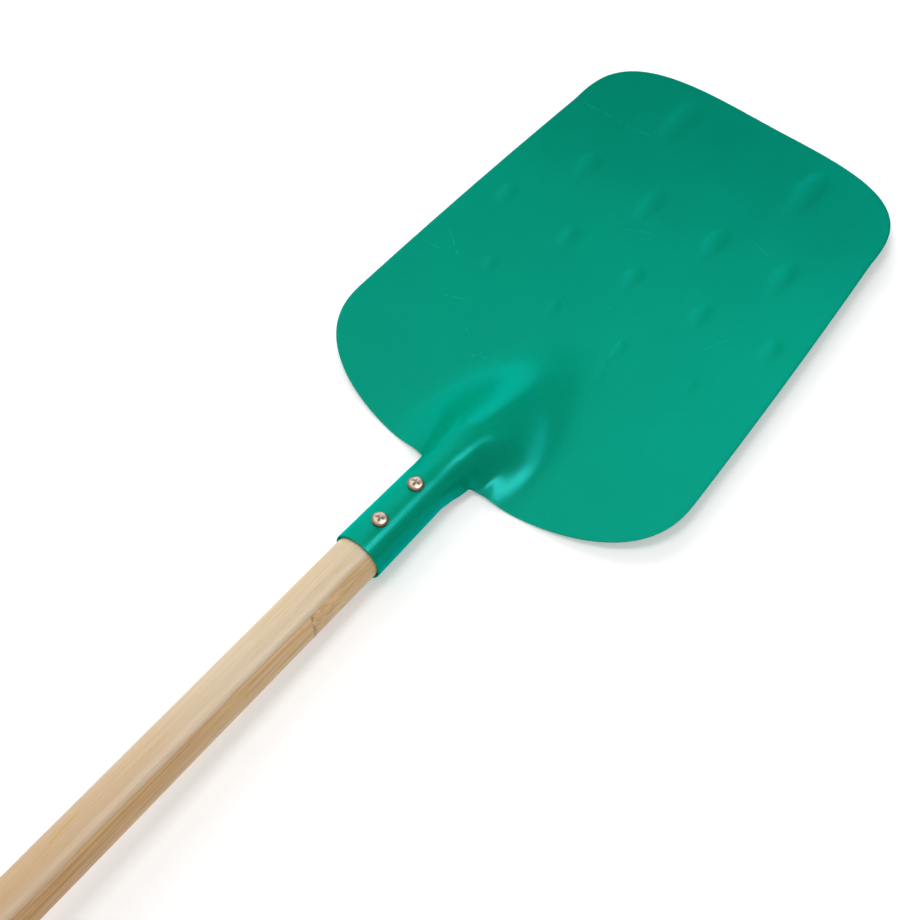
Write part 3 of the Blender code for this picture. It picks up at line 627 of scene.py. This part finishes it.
def make_screw(name, along, sizes, material):
    """Domed pan head with a cross recess and a flat seat, and a shank with a helical thread to its point."""
    head = sizes.head_diameter / 2.0
    depth = np.concatenate((
        -sizes.length + THREAD_POINT * (1.0 - np.linspace(1.0, 0.0, POINT_ROWS)) ** POINT_POWER,
        np.linspace(-sizes.length + THREAD_POINT, 0.0, THREAD_ROWS)[1:],
    ))
    sides = np.ones(SCREW_SIDES)
    angle = np.linspace(0.0, 2.0 * math.pi, SCREW_SIDES, endpoint=False)
    below = np.outer(depth, sides)
    taper = np.clip((below + sizes.length) / THREAD_POINT, POINT_BLUNTNESS, 1.0)
    phase = (below / THREAD_PITCH - angle / (2.0 * math.pi)) % 1.0
    crest = np.clip(1.0 - np.abs(phase - 0.5) / THREAD_HALF_CREST, 0.0, 1.0)
    crest *= np.clip(-below / THREAD_PITCH, 0.0, 1.0)
    shank_radius = CORE_RADIUS * taper + (THREAD_RADIUS - CORE_RADIUS) * crest * taper ** 0.5
    seat_radius = np.linspace(CORE_RADIUS, head, HEAD_SEAT_RINGS)[1:]
    turn = np.linspace(0.0, math.pi / 2.0, DOME_RINGS)[:-1]
    dome_radius = head * np.cos(turn) ** DOME_WIDTH_POWER
    dome_height = HEAD_RIM + (sizes.head_height - HEAD_RIM) * np.sin(turn) ** DOME_HEIGHT_POWER
    top_radius = np.concatenate((seat_radius, dome_radius[:1], dome_radius))
    top_height = np.concatenate((np.zeros(len(seat_radius)), (HEAD_RIM * HEAD_RIM_EDGE,), dome_height))
    radii = np.outer(top_radius, sides)
    heights = np.outer(top_height, sides)
    dome = slice(len(seat_radius) + 1, None)
    heights[dome] -= recess(radii, angle, sizes)[dome]
    radii, heights = np.concatenate((shank_radius, radii)), np.concatenate((below, heights))
    points, quads, triangles = turned_piece(radii, heights)
    shape = SheetShape(bpy.context.scene.spade_sheet)
    seat = shape.socket_point(along, 0.0, shape.socket_radius(along))
    place = Matrix.Translation(seat) @ Matrix.Rotation(-SOCKET_LEAN, 4, "X")
    place = place @ Matrix.Rotation(SCREW_TURNS[name], 4, "Z")
    piece = make_piece(f"{name}_fine", placed(points, place), quads, triangles, material,
                       name)
    piece.data.set_sharp_from_angle(angle=SHARP_EDGE)
    return piece


class Nodes:
    """A node tree, with short calls for the nodes that the finishes, the floor and the walls use."""

    def __init__(self, owner):
        owner.use_nodes = True
        self.tree = owner.node_tree

    def add(self, kind, inputs=None, **settings):
        """New node with its settings, and outputs or values for its inputs."""
        node = self.tree.nodes.new(kind)
        for key, value in settings.items():
            setattr(node, key, value)
        for key, value in (inputs or {}).items():
            self.feed(node.inputs[key], value)
        return node

    def feed(self, socket, value):
        """Link an output to a socket, or set the socket's value."""
        if isinstance(value, bpy.types.NodeSocket):
            self.tree.links.new(value, socket)
        elif value is not None:
            socket.default_value = value

    def maths(self, operation, a, b=None, clamp=False):
        """Maths node on numbers or outputs."""
        return self.add("ShaderNodeMath", {0: a, 1: b}, operation=operation, use_clamp=clamp).outputs[0]

    def times(self, a, b):
        """Product of two numbers or outputs."""
        return self.maths("MULTIPLY", a, b)

    def plus(self, a, b):
        """Sum of two numbers or outputs."""
        return self.maths("ADD", a, b)

    def minus(self, a, b):
        """Difference of two numbers or outputs."""
        return self.maths("SUBTRACT", a, b)

    def larger(self, a, b):
        """Larger of two numbers or outputs."""
        return self.maths("MAXIMUM", a, b)

    def vector(self, operation, a, b=None):
        """Vector maths node."""
        node = self.add("ShaderNodeVectorMath", {0: a, 1: b}, operation=operation)
        return node.outputs["Value" if operation in ("DOT_PRODUCT", "DISTANCE") else "Vector"]

    def ease(self, value, low, high, low_out=0.0, high_out=1.0):
        """Smooth step of a value between two limits."""
        inputs = dict(enumerate((value, low, high, low_out, high_out)))
        return self.add("ShaderNodeMapRange", inputs, interpolation_type="SMOOTHSTEP").outputs[0]

    def mix(self, share, a, b):
        """Mix of two numbers or outputs."""
        return self.add("ShaderNodeMix", {0: share, 2: a, 3: b}).outputs[0]


class Paint(Nodes):
    """A finish's material and the nodes that make its pattern."""

    def __init__(self, name):
        self.material = bpy.data.materials.new(name)
        super().__init__(self.material)
        self.shader = self.tree.nodes["Principled BSDF"]
        self.place = self.add("ShaderNodeTexCoord").outputs["Object"]

    def joined(self, x, y):
        """Coordinates from an x and a y."""
        return self.add("ShaderNodeCombineXYZ", {"X": x, "Y": y}).outputs[0]

    def millimetres(self, origin, tilt):
        """Object coordinates in millimetres, from an origin and turned about X."""
        inputs = {"Vector": self.place, "Location": origin, "Rotation": (tilt, 0.0, 0.0)}
        inputs["Scale"] = (0.001, 0.001, 0.001)
        return self.add("ShaderNodeMapping", inputs, vector_type="TEXTURE").outputs[0]

    def stretched(self, place, scale):
        """Coordinates times a scale on each axis."""
        return self.vector("MULTIPLY", place, scale)

    def noise(self, place, scale, detail=3.0, roughness=0.5, distortion=0.0):
        """Noise value from 0 to 1."""
        inputs = {"Vector": place, "Scale": scale, "Detail": detail, "Roughness": roughness}
        inputs["Distortion"] = distortion
        return self.add("ShaderNodeTexNoise", inputs).outputs["Fac"]

    def grain(self, place, across, along, detail=1.0, roughness=0.5, distortion=0.0):
        """Noise with a scale across the length and another along it."""
        return self.noise(self.stretched(place, (across, along, across)), 1.0, detail, roughness, distortion)

    def spots(self, place, scale, core, rim):
        """Mask of scattered spots: 1 in the core, easing to 0 at the rim."""
        node = self.add("ShaderNodeTexVoronoi", {"Vector": place, "Scale": scale, "Randomness": 1.0})
        return self.ease(node.outputs["Distance"], core, rim, 1.0, 0.0)

    def line(self, value, middle, core, rim):
        """Mask of a line where a value passes its middle: 1 in the core, easing to 0 at the rim."""
        return self.ease(self.maths("ABSOLUTE", self.minus(value, middle)), core, rim, 1.0, 0.0)

    def blend(self, share, a, b, kind="MIX"):
        """Mix of two colours, each an output or three channels."""
        a, b = (tint if isinstance(tint, bpy.types.NodeSocket) else (*tint, 1.0) for tint in (a, b))
        node = self.add("ShaderNodeMix", {"Factor": share, 6: a, 7: b}, data_type="RGBA", blend_type=kind)
        return node.outputs[2]

    def cover(self, under, mask, strength, over):
        """Colour laid over another where a mask is, at a strength."""
        return self.blend(self.times(mask, strength), under, over)

    def segment(self, place, start, end, half_width, soft):
        """Mask of a line between two points in plan: 1 on it, easing to 0 past its half width."""
        start, end = Vector((*start, 0.0)), Vector((*end, 0.0))
        flat = self.vector("MULTIPLY", place, (1.0, 1.0, 0.0))
        away = self.vector("SUBTRACT", flat, tuple(start))
        along = self.vector("DOT_PRODUCT", away, tuple((end - start) / (end - start).length_squared))
        held = self.maths("MULTIPLY", along, 1.0, clamp=True)
        spread = self.add("ShaderNodeVectorMath", {0: tuple(end - start), "Scale": held}, operation="SCALE")
        distance = self.vector("DISTANCE", away, spread.outputs[0])
        return self.ease(distance, half_width, half_width + soft, 1.0, 0.0)

    def bump(self, height, distance):
        """Relief on the shader's normal, in metres."""
        node = self.add("ShaderNodeBump", {"Strength": 1.0, "Distance": distance, "Height": height})
        self.feed(self.shader.inputs["Normal"], node.outputs[0])

    def set(self, **values):
        """Values or outputs for the shader's sockets, named with underscores for spaces."""
        for key, value in values.items():
            self.feed(self.shader.inputs[key.replace("_", " ")], value)


def enamel(colours):
    """Green enamel on steel: slight orange peel, dust specks, lint, short light and dark scratch lines, and
    a painted highlight and painted shade along a fold near the frog.
    """
    paint = Paint("green_enamel_fine")
    place = paint.millimetres(REST_PLACE, REST_TILT)
    cloud = paint.times(paint.noise(place, *CLOUD_NOISE), CLOUD_SHARE)
    mottle = paint.times(paint.noise(place, *MOTTLE_NOISE), MOTTLE_SHARE)
    tone = paint.ease(paint.plus(cloud, mottle), *NOISE_MIDDLE)
    low, high = (Vector(colours.enamel) * spread for spread in TONE_SPREAD)
    colour = paint.blend(tone, low, high)
    # Painted shade: darker towards the tip, where the light falls off
    along = paint.vector("DOT_PRODUCT", place, (0.0, 1.0, 0.0))
    colour = paint.blend(paint.ease(along, *TIP_PAINTED_SHADE_REACH), colour, TIP_PAINTED_SHADE, "MULTIPLY")
    dust = paint.spots(place, *DUST_SPOTS)
    lint = paint.spots(paint.stretched(place, LINT_STRETCH), *LINT_SPOTS)
    broken = paint.ease(paint.noise(paint.stretched(place, (1.0, 1.0, 0.0)), *BREAK_NOISE), *BREAK_RISE)
    marks = [0.0, 0.0]
    for start, end, half_width, light in SCRATCHES_AND_FOLD_SHADING:
        mark = paint.times(paint.segment(place, start, end, half_width, SCRATCH_SOFTNESS), broken)
        marks[light] = paint.larger(marks[light], mark)
    for spot, length, light in SPECKS:
        mark = paint.segment(place, spot, (spot[0] + length, spot[1]), length * 0.5, length * 0.5)
        marks[light] = paint.larger(marks[light], mark)
    dark_marks, light_marks = marks
    light = tuple(min(1.0, channel * LIGHT_GAIN + LIGHT_LIFT) for channel in colours.enamel)
    dark = tuple(channel * DARK_GAIN for channel in colours.enamel)
    colour = paint.cover(colour, light_marks, LIGHT_MARKS, light)
    colour = paint.cover(colour, dark_marks, DARK_MARKS, dark)
    colour = paint.cover(colour, dust, DUST_MARKS, light)
    paint.set(Base_Color=paint.cover(colour, lint, LINT_MARKS, dark))
    # Marks for roughness and relief: scratch lines, specks, and the painted highlight and shade of the fold
    scratch_and_fold_marks = paint.larger(light_marks, dark_marks)
    low, high = (ENAMEL_ROUGHNESS * spread for spread in GLOSS_SPREAD)
    gloss = paint.ease(paint.noise(place, *GLOSS_NOISE), *NOISE_MIDDLE, low, high)
    paint.set(Roughness=paint.plus(gloss, paint.times(scratch_and_fold_marks, SCRATCH_DULLNESS)))
    paint.set(IOR=1.5, Specular_IOR_Level=0.8, Specular_Tint=(1.0, 0.9, 1.0, 1.0))
    paint.set(Coat_Weight=1.0, Coat_IOR=1.0, Coat_Tint=(*colours.enamel_sheen, 1.0))
    peel = paint.times(paint.noise(place, *PEEL_NOISE), PEEL_RELIEF)
    relief = paint.plus(peel, paint.times(dust, DUST_RELIEF))
    paint.bump(paint.minus(relief, paint.times(scratch_and_fold_marks, SCRATCH_RELIEF)), ENAMEL_RELIEF)
    return paint.material


def bamboo(colours):
    """Varnished bamboo in glued strips: long fibres, brown bundles, a node in each strip, yellow flecks."""
    paint = Paint("bamboo_fine")
    mouth = to_world(np.array((0.0, 0.0, MOUTH_HEIGHT)))
    place = paint.millimetres(tuple(mouth), REST_TILT - SOCKET_LEAN)
    axis = paint.vector("DOT_PRODUCT", place, (0.0, 1.0, 0.0))
    waver = paint.times(paint.minus(paint.grain(place, *WAVER_GRAIN), 0.5), WAVER_WIDTH)
    across = paint.plus(paint.vector("DOT_PRODUCT", place, STRIP_ACROSS), waver)
    depth = paint.vector("DOT_PRODUCT", place, STRIP_DEPTH)
    right = paint.ease(across, GLUE_ACROSS - ACROSS_EASE, GLUE_ACROSS + ACROSS_EASE)
    lower = paint.ease(depth, GLUE_DEPTH - DEPTH_EASE, GLUE_DEPTH + DEPTH_EASE, 1.0, 0.0)
    brown_strip = paint.maths("ABSOLUTE", paint.minus(right, lower))
    # Each strip has its own fibres and its own node along the handle
    strip = paint.plus(right, paint.times(lower, 2.0))
    upper_node = paint.ease(right, 0.0, 1.0, NODE_PLACES[0], NODE_PLACES[1])
    lower_node = paint.ease(right, 0.0, 1.0, NODE_PLACES[2], NODE_PLACES[3])
    node_place = paint.ease(lower, 0.0, 1.0, upper_node, lower_node)
    slanted = paint.plus(axis, paint.times(across, NODE_SLANT))
    beyond = paint.minus(slanted, node_place)
    halvings = paint.maths("DIVIDE", paint.larger(beyond, 0.0), NODE_HALVING)
    near = paint.times(paint.ease(beyond, -NODE_EDGE, NODE_EDGE), paint.maths("POWER", 0.5, halvings))
    shift = paint.plus(paint.times(strip, STRIP_SHIFT[0]), paint.times(near, NODE_BEND))
    own = paint.vector("ADD", place, paint.joined(shift, paint.times(strip, STRIP_SHIFT[1])))
    streak = colours.bamboo_streak
    mark = paint.blend(brown_strip, colours.bamboo_line, streak)
    light = tuple(min(1.0, channel * PALE_GAIN) for channel in colours.bamboo_pale)
    colour = paint.blend(brown_strip, colours.bamboo_pale, colours.bamboo_brown)
    grains = {}
    for name, (grain, shown, strength) in FIBRE_LAYERS.items():
        grains[name] = paint.grain(own, *grain)
        over = light if name == "fibres" else mark
        colour = paint.cover(colour, paint.ease(grains[name], *shown), strength, over)
    # Node: broken fibres over it, and a row of short dark ends
    crossing = paint.grain(own, *CROSSING_GRAIN)
    ends = paint.times(paint.line(beyond, *ENDS_LINE), paint.ease(crossing, *ENDS_RISE))
    broken = paint.times(near, paint.ease(crossing, *BROKEN_RISE))
    colour = paint.cover(colour, broken, BROKEN_STRENGTH, streak)
    colour = paint.cover(colour, ends, ENDS_STRENGTH, colours.bamboo_node)
    # Glue lines, yellow flecks and one orange streak
    glue = paint.line(across, GLUE_ACROSS, *GLUE_LINE)
    glue = paint.larger(glue, paint.line(depth, GLUE_DEPTH, *GLUE_LINE))
    colour = paint.cover(colour, glue, GLUE_STRENGTH, streak)
    flecks = paint.ease(paint.grain(own, *FLECK_GRAIN), *FLECK_RISE)
    clusters = paint.ease(paint.grain(own, *CLUSTER_GRAIN), *CLUSTER_RISE)
    colour = paint.cover(colour, paint.times(flecks, clusters), FLECK_STRENGTH, colours.bamboo_fleck)
    orange = paint.segment(paint.joined(across, axis), *ORANGE_STREAK)
    orange = paint.times(orange, paint.minus(1.0, lower))
    colour = paint.cover(colour, orange, ORANGE_STRENGTH, colours.bamboo_fleck)
    # Painted shade darkens the far end, where the light falls off, with a warmer bamboo tone there too
    far = paint.ease(axis, *FAR_TINT_AND_SHADE_REACH, 1.0, 0.0)
    paint.set(Base_Color=paint.blend(far, colour, colours.bamboo_far_tint_and_shade, "MULTIPLY"))
    paint.set(Roughness=paint.ease(grains["fibres"], *NOISE_MIDDLE, *BAMBOO_GLOSS))
    paint.set(IOR=1.45, Coat_Weight=0.3, Coat_Roughness=0.3)
    fibres, bundles = (paint.times(grains[name], GRAIN_RELIEF) for name in ("fibres", "bundles"))
    paint.bump(paint.minus(paint.plus(fibres, bundles), paint.times(ends, ENDS_RELIEF)), BAMBOO_RELIEF)
    return paint.material


def nickel(colours):
    """Nickel-plated steel: uneven gloss, with painted shade in dark brown in the recess and round the head's
    rim, the domed top kept bright.
    """
    paint = Paint("nickel_fine")
    place = paint.millimetres(REST_PLACE, REST_TILT - SOCKET_LEAN)
    shape = SheetShape(bpy.context.scene.spade_sheet)
    unturned = Matrix.Rotation(SOCKET_LEAN - REST_TILT, 3, "X")
    bright = 0.0
    for along in SCREW_PLACES.values():
        seat = to_world(shape.socket_point(along, 0.0, shape.socket_radius(along)))
        x, y, z = unturned @ (Vector(seat) - Vector(REST_PLACE)) * 1000.0
        face = paint.segment(place, (x, y), (x, y + BRIGHT_LENGTH), *BRIGHT_FACE)
        height = paint.vector("DOT_PRODUCT", place, (0.0, 0.0, 1.0))
        high = paint.ease(height, z + BRIGHT_LOW, z + BRIGHT_HIGH)
        bright = paint.larger(bright, paint.times(face, high))
    cloud = paint.ease(paint.noise(place, *PLATE_NOISE), *NOISE_MIDDLE)
    fine = paint.noise(place, *FINE_NOISE)
    colour = paint.blend(cloud, Vector(colours.nickel) * PLATE_LOW, colours.nickel)
    # Painted shade: dark brown everywhere on the head but its bright top
    paint.set(Base_Color=paint.blend(bright, colours.nickel_painted_shade, colour), Metallic=1.0)
    paint.set(Roughness=paint.ease(fine, *NOISE_MIDDLE, *NICKEL_GLOSS))
    paint.bump(fine, NICKEL_RELIEF)
    return paint.material


def make_floor():
    """White matt floor under the spade, with a glow that only camera and mirror rays see."""
    mesh = bpy.data.meshes.new("floor")
    corners = [(x * FLOOR_REACH, y * FLOOR_REACH, 0.0) for x, y in ((-1, -1), (1, -1), (1, 1), (-1, 1))]
    mesh.from_pydata(corners, [], [(0, 1, 2, 3)])
    mesh.update()
    floor = bpy.data.objects.new("floor", mesh)
    bpy.context.scene.collection.objects.link(floor)
    material = bpy.data.materials.new("floor_white")
    nodes = Nodes(material)
    nodes.tree.nodes.clear()
    ray = nodes.add("ShaderNodeLightPath").outputs
    seen = nodes.times(ray["Is Camera Ray"], FLOOR_LIFT)
    mirrored = nodes.times(ray["Is Glossy Ray"], FLOOR_MIRROR_LIFT)
    paper = nodes.add("ShaderNodeBsdfDiffuse", {"Color": (FLOOR_TONE, FLOOR_TONE, FLOOR_TONE, 1.0)})
    glow = nodes.add("ShaderNodeEmission", {"Strength": nodes.plus(seen, mirrored)})
    both = nodes.add("ShaderNodeAddShader", {0: paper.outputs[0], 1: glow.outputs[0]})
    nodes.add("ShaderNodeOutputMaterial", {"Surface": both.outputs[0]})
    mesh.materials.append(material)


def make_world():
    """Studio walls: white behind, plain light all round, and in mirrors a pale wall fading to a dark one."""
    world = bpy.data.worlds.new("studio")
    bpy.context.scene.world = world
    nodes = Nodes(world)
    nodes.tree.nodes.clear()
    ray = nodes.add("ShaderNodeLightPath").outputs
    place = nodes.add("ShaderNodeTexCoord").outputs["Generated"]
    wall = nodes.ease(nodes.vector("DOT_PRODUCT", place, WALL_SIDE), *WALL_FADE, *WALL_LIGHT)
    light = nodes.mix(ray["Is Glossy Ray"], WORLD_LIGHT, wall)
    strength = nodes.mix(ray["Is Camera Ray"], light, 1.0)
    background = nodes.add("ShaderNodeBackground", {"Strength": strength})
    nodes.add("ShaderNodeOutputWorld", {"Surface": background.outputs[0]})


def make_lamp(name, direction, length_way, distance, size, power, mirrored):
    """Softbox that faces the blade from a direction, its length turned a given way, in the blade's frame."""
    lamp = bpy.data.lights.new(name, "AREA")
    lamp.shape = "RECTANGLE"
    lamp.size, lamp.size_y = size
    lamp.energy = power
    target = Vector(to_world(np.array(LAMP_TARGET)))
    turn = resting_frame().to_3x3()
    away = turn @ Vector(direction).normalized()
    upright = away.cross(turn @ Vector(length_way)).normalized()
    side = upright.cross(away)
    pose = Matrix((side, upright, away)).transposed().to_4x4()
    thing = bpy.data.objects.new(name, lamp)
    thing.matrix_world = Matrix.Translation(target + away * distance) @ pose
    thing.visible_glossy = mirrored
    thing.visible_diffuse = not mirrored
    bpy.context.scene.collection.objects.link(thing)


def make_camera():
    """Camera over the right of the socket, looking down along the spade."""
    forward = Vector((
        math.sin(CAMERA_YAW) * math.cos(CAMERA_PITCH),
        math.cos(CAMERA_YAW) * math.cos(CAMERA_PITCH),
        -math.sin(CAMERA_PITCH),
    ))
    right = Vector((math.cos(CAMERA_YAW), -math.sin(CAMERA_YAW), 0.0))
    pose = Matrix((right, right.cross(forward), -forward)).transposed().to_4x4()
    camera = bpy.data.cameras.new("camera")
    camera.sensor_width = SENSOR_WIDTH
    camera.lens = FOCAL_PIXELS / PICTURE_PIXELS * SENSOR_WIDTH
    camera.clip_start = 0.01
    thing = bpy.data.objects.new("camera", camera)
    thing.matrix_world = resting_frame() @ Matrix.Translation(CAMERA_PLACE) @ pose
    bpy.context.scene.collection.objects.link(thing)
    bpy.context.scene.camera = thing


class SpadeSheetSizes(bpy.types.PropertyGroup):
    """Sizes of the pressed sheet"""

    sheet: FloatProperty(name="Sheet", description="Steel thickness", default=0.0008, unit="LENGTH")
    heel_width: FloatProperty(
        name="Heel width", description="Width near the socket", default=0.1814, unit="LENGTH")
    tip_width: FloatProperty(
        name="Tip width", description="Width near the tip", default=0.1676, unit="LENGTH")
    dish_radius: FloatProperty(
        name="Dish radius", description="Bend across the blade", default=0.4446, unit="LENGTH")
    socket_width: FloatProperty(
        name="Socket", description="Outside width at the mouth", default=0.0226, unit="LENGTH")
    mound_height: FloatProperty(
        name="Frog height", description="Rise of the frog", default=0.02066, unit="LENGTH")
    drop_relief: FloatProperty(
        name="Drop relief", description="Height of the drops, 1 as pressed", default=1.0)


class SpadeHandleSizes(bpy.types.PropertyGroup):
    """Sizes of the dowel"""

    diameter: FloatProperty(name="Diameter", description="Dowel diameter", default=0.020, unit="LENGTH")
    length: FloatProperty(name="Length", description="Mouth to far end", default=0.406, unit="LENGTH")
    socket_width: FloatProperty(
        name="Socket", description="Outside width at the mouth", default=0.0226, unit="LENGTH")
    sheet: FloatProperty(name="Sheet", description="Steel thickness", default=0.0008, unit="LENGTH")


class SpadeScrewSizes(bpy.types.PropertyGroup):
    """Sizes of the screws"""

    head_diameter: FloatProperty(name="Head diameter", description="Pan head", default=0.007, unit="LENGTH")
    head_height: FloatProperty(name="Head height", description="Pan head", default=0.0022, unit="LENGTH")
    length: FloatProperty(name="Length", description="Under the head", default=0.015, unit="LENGTH")


def colour_property(name, default):
    """Colour with three channels."""
    return FloatVectorProperty(
        name=name, description=f"Colour: {name}", subtype="COLOR", size=3, min=0.0, max=1.0, default=default)


class SpadeColours(bpy.types.PropertyGroup):
    """Colours of the finishes"""

    enamel: colour_property("Enamel", (0.0, 0.302, 0.168))
    enamel_sheen: colour_property("Enamel sheen", (0.07, 1.0, 1.0))
    bamboo_pale: colour_property("Pale bamboo", (0.77, 0.62, 0.435))
    bamboo_line: colour_property("Pale bamboo line", (0.71, 0.505, 0.265))
    bamboo_brown: colour_property("Brown bamboo", (0.90, 0.62, 0.31))
    bamboo_streak: colour_property("Brown bamboo streak", (0.62, 0.34, 0.14))
    bamboo_node: colour_property("Bamboo node", (0.30, 0.135, 0.045))
    bamboo_fleck: colour_property("Bamboo fleck", (0.80, 0.42, 0.06))
    # Painted shade and a warmer bamboo tone for the far end of the handle
    bamboo_far_tint_and_shade: colour_property("Bamboo tint and painted shade at the far end", (0.85, 0.74, 0.63))
    nickel: colour_property("Nickel", (0.66, 0.57, 0.49))
    # Painted shade on the screw heads, round the rim and in the recess
    nickel_painted_shade: colour_property("Painted shade on the screws", (0.21, 0.13, 0.08))


class SPADE_OT_sheet(bpy.types.Operator):
    """Build the pressed sheet: dished blade, frog and rolled socket"""

    bl_idname = "spade.sheet"
    bl_label = "Sheet"

    def execute(self, context):
        make_sheet(context.scene.spade_sheet, enamel(context.scene.spade_colours))
        return {"FINISHED"}


class SPADE_OT_handle(bpy.types.Operator):
    """Build the bamboo dowel"""

    bl_idname = "spade.handle"
    bl_label = "Handle"

    def execute(self, context):
        make_handle(context.scene.spade_handle, bamboo(context.scene.spade_colours))
        return {"FINISHED"}


class SPADE_OT_screws(bpy.types.Operator):
    """Build the two screws that hold the dowel in the socket"""

    bl_idname = "spade.screws"
    bl_label = "Screws"

    def execute(self, context):
        material = nickel(context.scene.spade_colours)
        for name, along in SCREW_PLACES.items():
            make_screw(name, along, context.scene.spade_screws, material)
        return {"FINISHED"}


class SPADE_OT_stage(bpy.types.Operator):
    """Set out the floor, lamps, walls and camera"""

    bl_idname = "spade.stage"
    bl_label = "Stage"

    def execute(self, context):
        make_floor()
        make_world()
        for lamp in LAMPS:
            make_lamp(*lamp)
        make_camera()
        context.scene.view_settings.view_transform = "Standard"
        return {"FINISHED"}


class SPADE_PT_panel(bpy.types.Panel):
    """The spade's sizes, colours and operators"""

    bl_idname = "SPADE_PT_panel"
    bl_label = "Toy Garden Spade"
    bl_space_type = "VIEW_3D"
    bl_region_type = "UI"
    bl_category = "Spade"

    def draw(self, context):
        layout = self.layout
        for group in GROUPS:
            values = getattr(context.scene, group)
            box = layout.box()
            for name in values.__annotations__:
                box.prop(values, name)
        for operator in (SPADE_OT_sheet, SPADE_OT_handle, SPADE_OT_screws, SPADE_OT_stage):
            layout.operator(operator.bl_idname)


CLASSES = (
    SpadeSheetSizes, SpadeHandleSizes, SpadeScrewSizes, SpadeColours,
    SPADE_OT_sheet, SPADE_OT_handle, SPADE_OT_screws, SPADE_OT_stage, SPADE_PT_panel,
)
GROUPS = {
    "spade_sheet": SpadeSheetSizes,
    "spade_handle": SpadeHandleSizes,
    "spade_screws": SpadeScrewSizes,
    "spade_colours": SpadeColours,
}


def register():
    """Register the classes and give the scene its groups of sizes and colours."""
    for cls in CLASSES:
        bpy.utils.register_class(cls)
    for name, group in GROUPS.items():
        setattr(bpy.types.Scene, name, PointerProperty(type=group))


def unregister():
    """Take the groups and the classes away again."""
    for name in GROUPS:
        delattr(bpy.types.Scene, name)
    for cls in reversed(CLASSES):
        bpy.utils.unregister_class(cls)


def main():
    """Register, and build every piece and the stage."""
    register()
    bpy.ops.spade.sheet()
    bpy.ops.spade.handle()
    bpy.ops.spade.screws()
    bpy.ops.spade.stage()


if __name__ == "__main__":
    main()
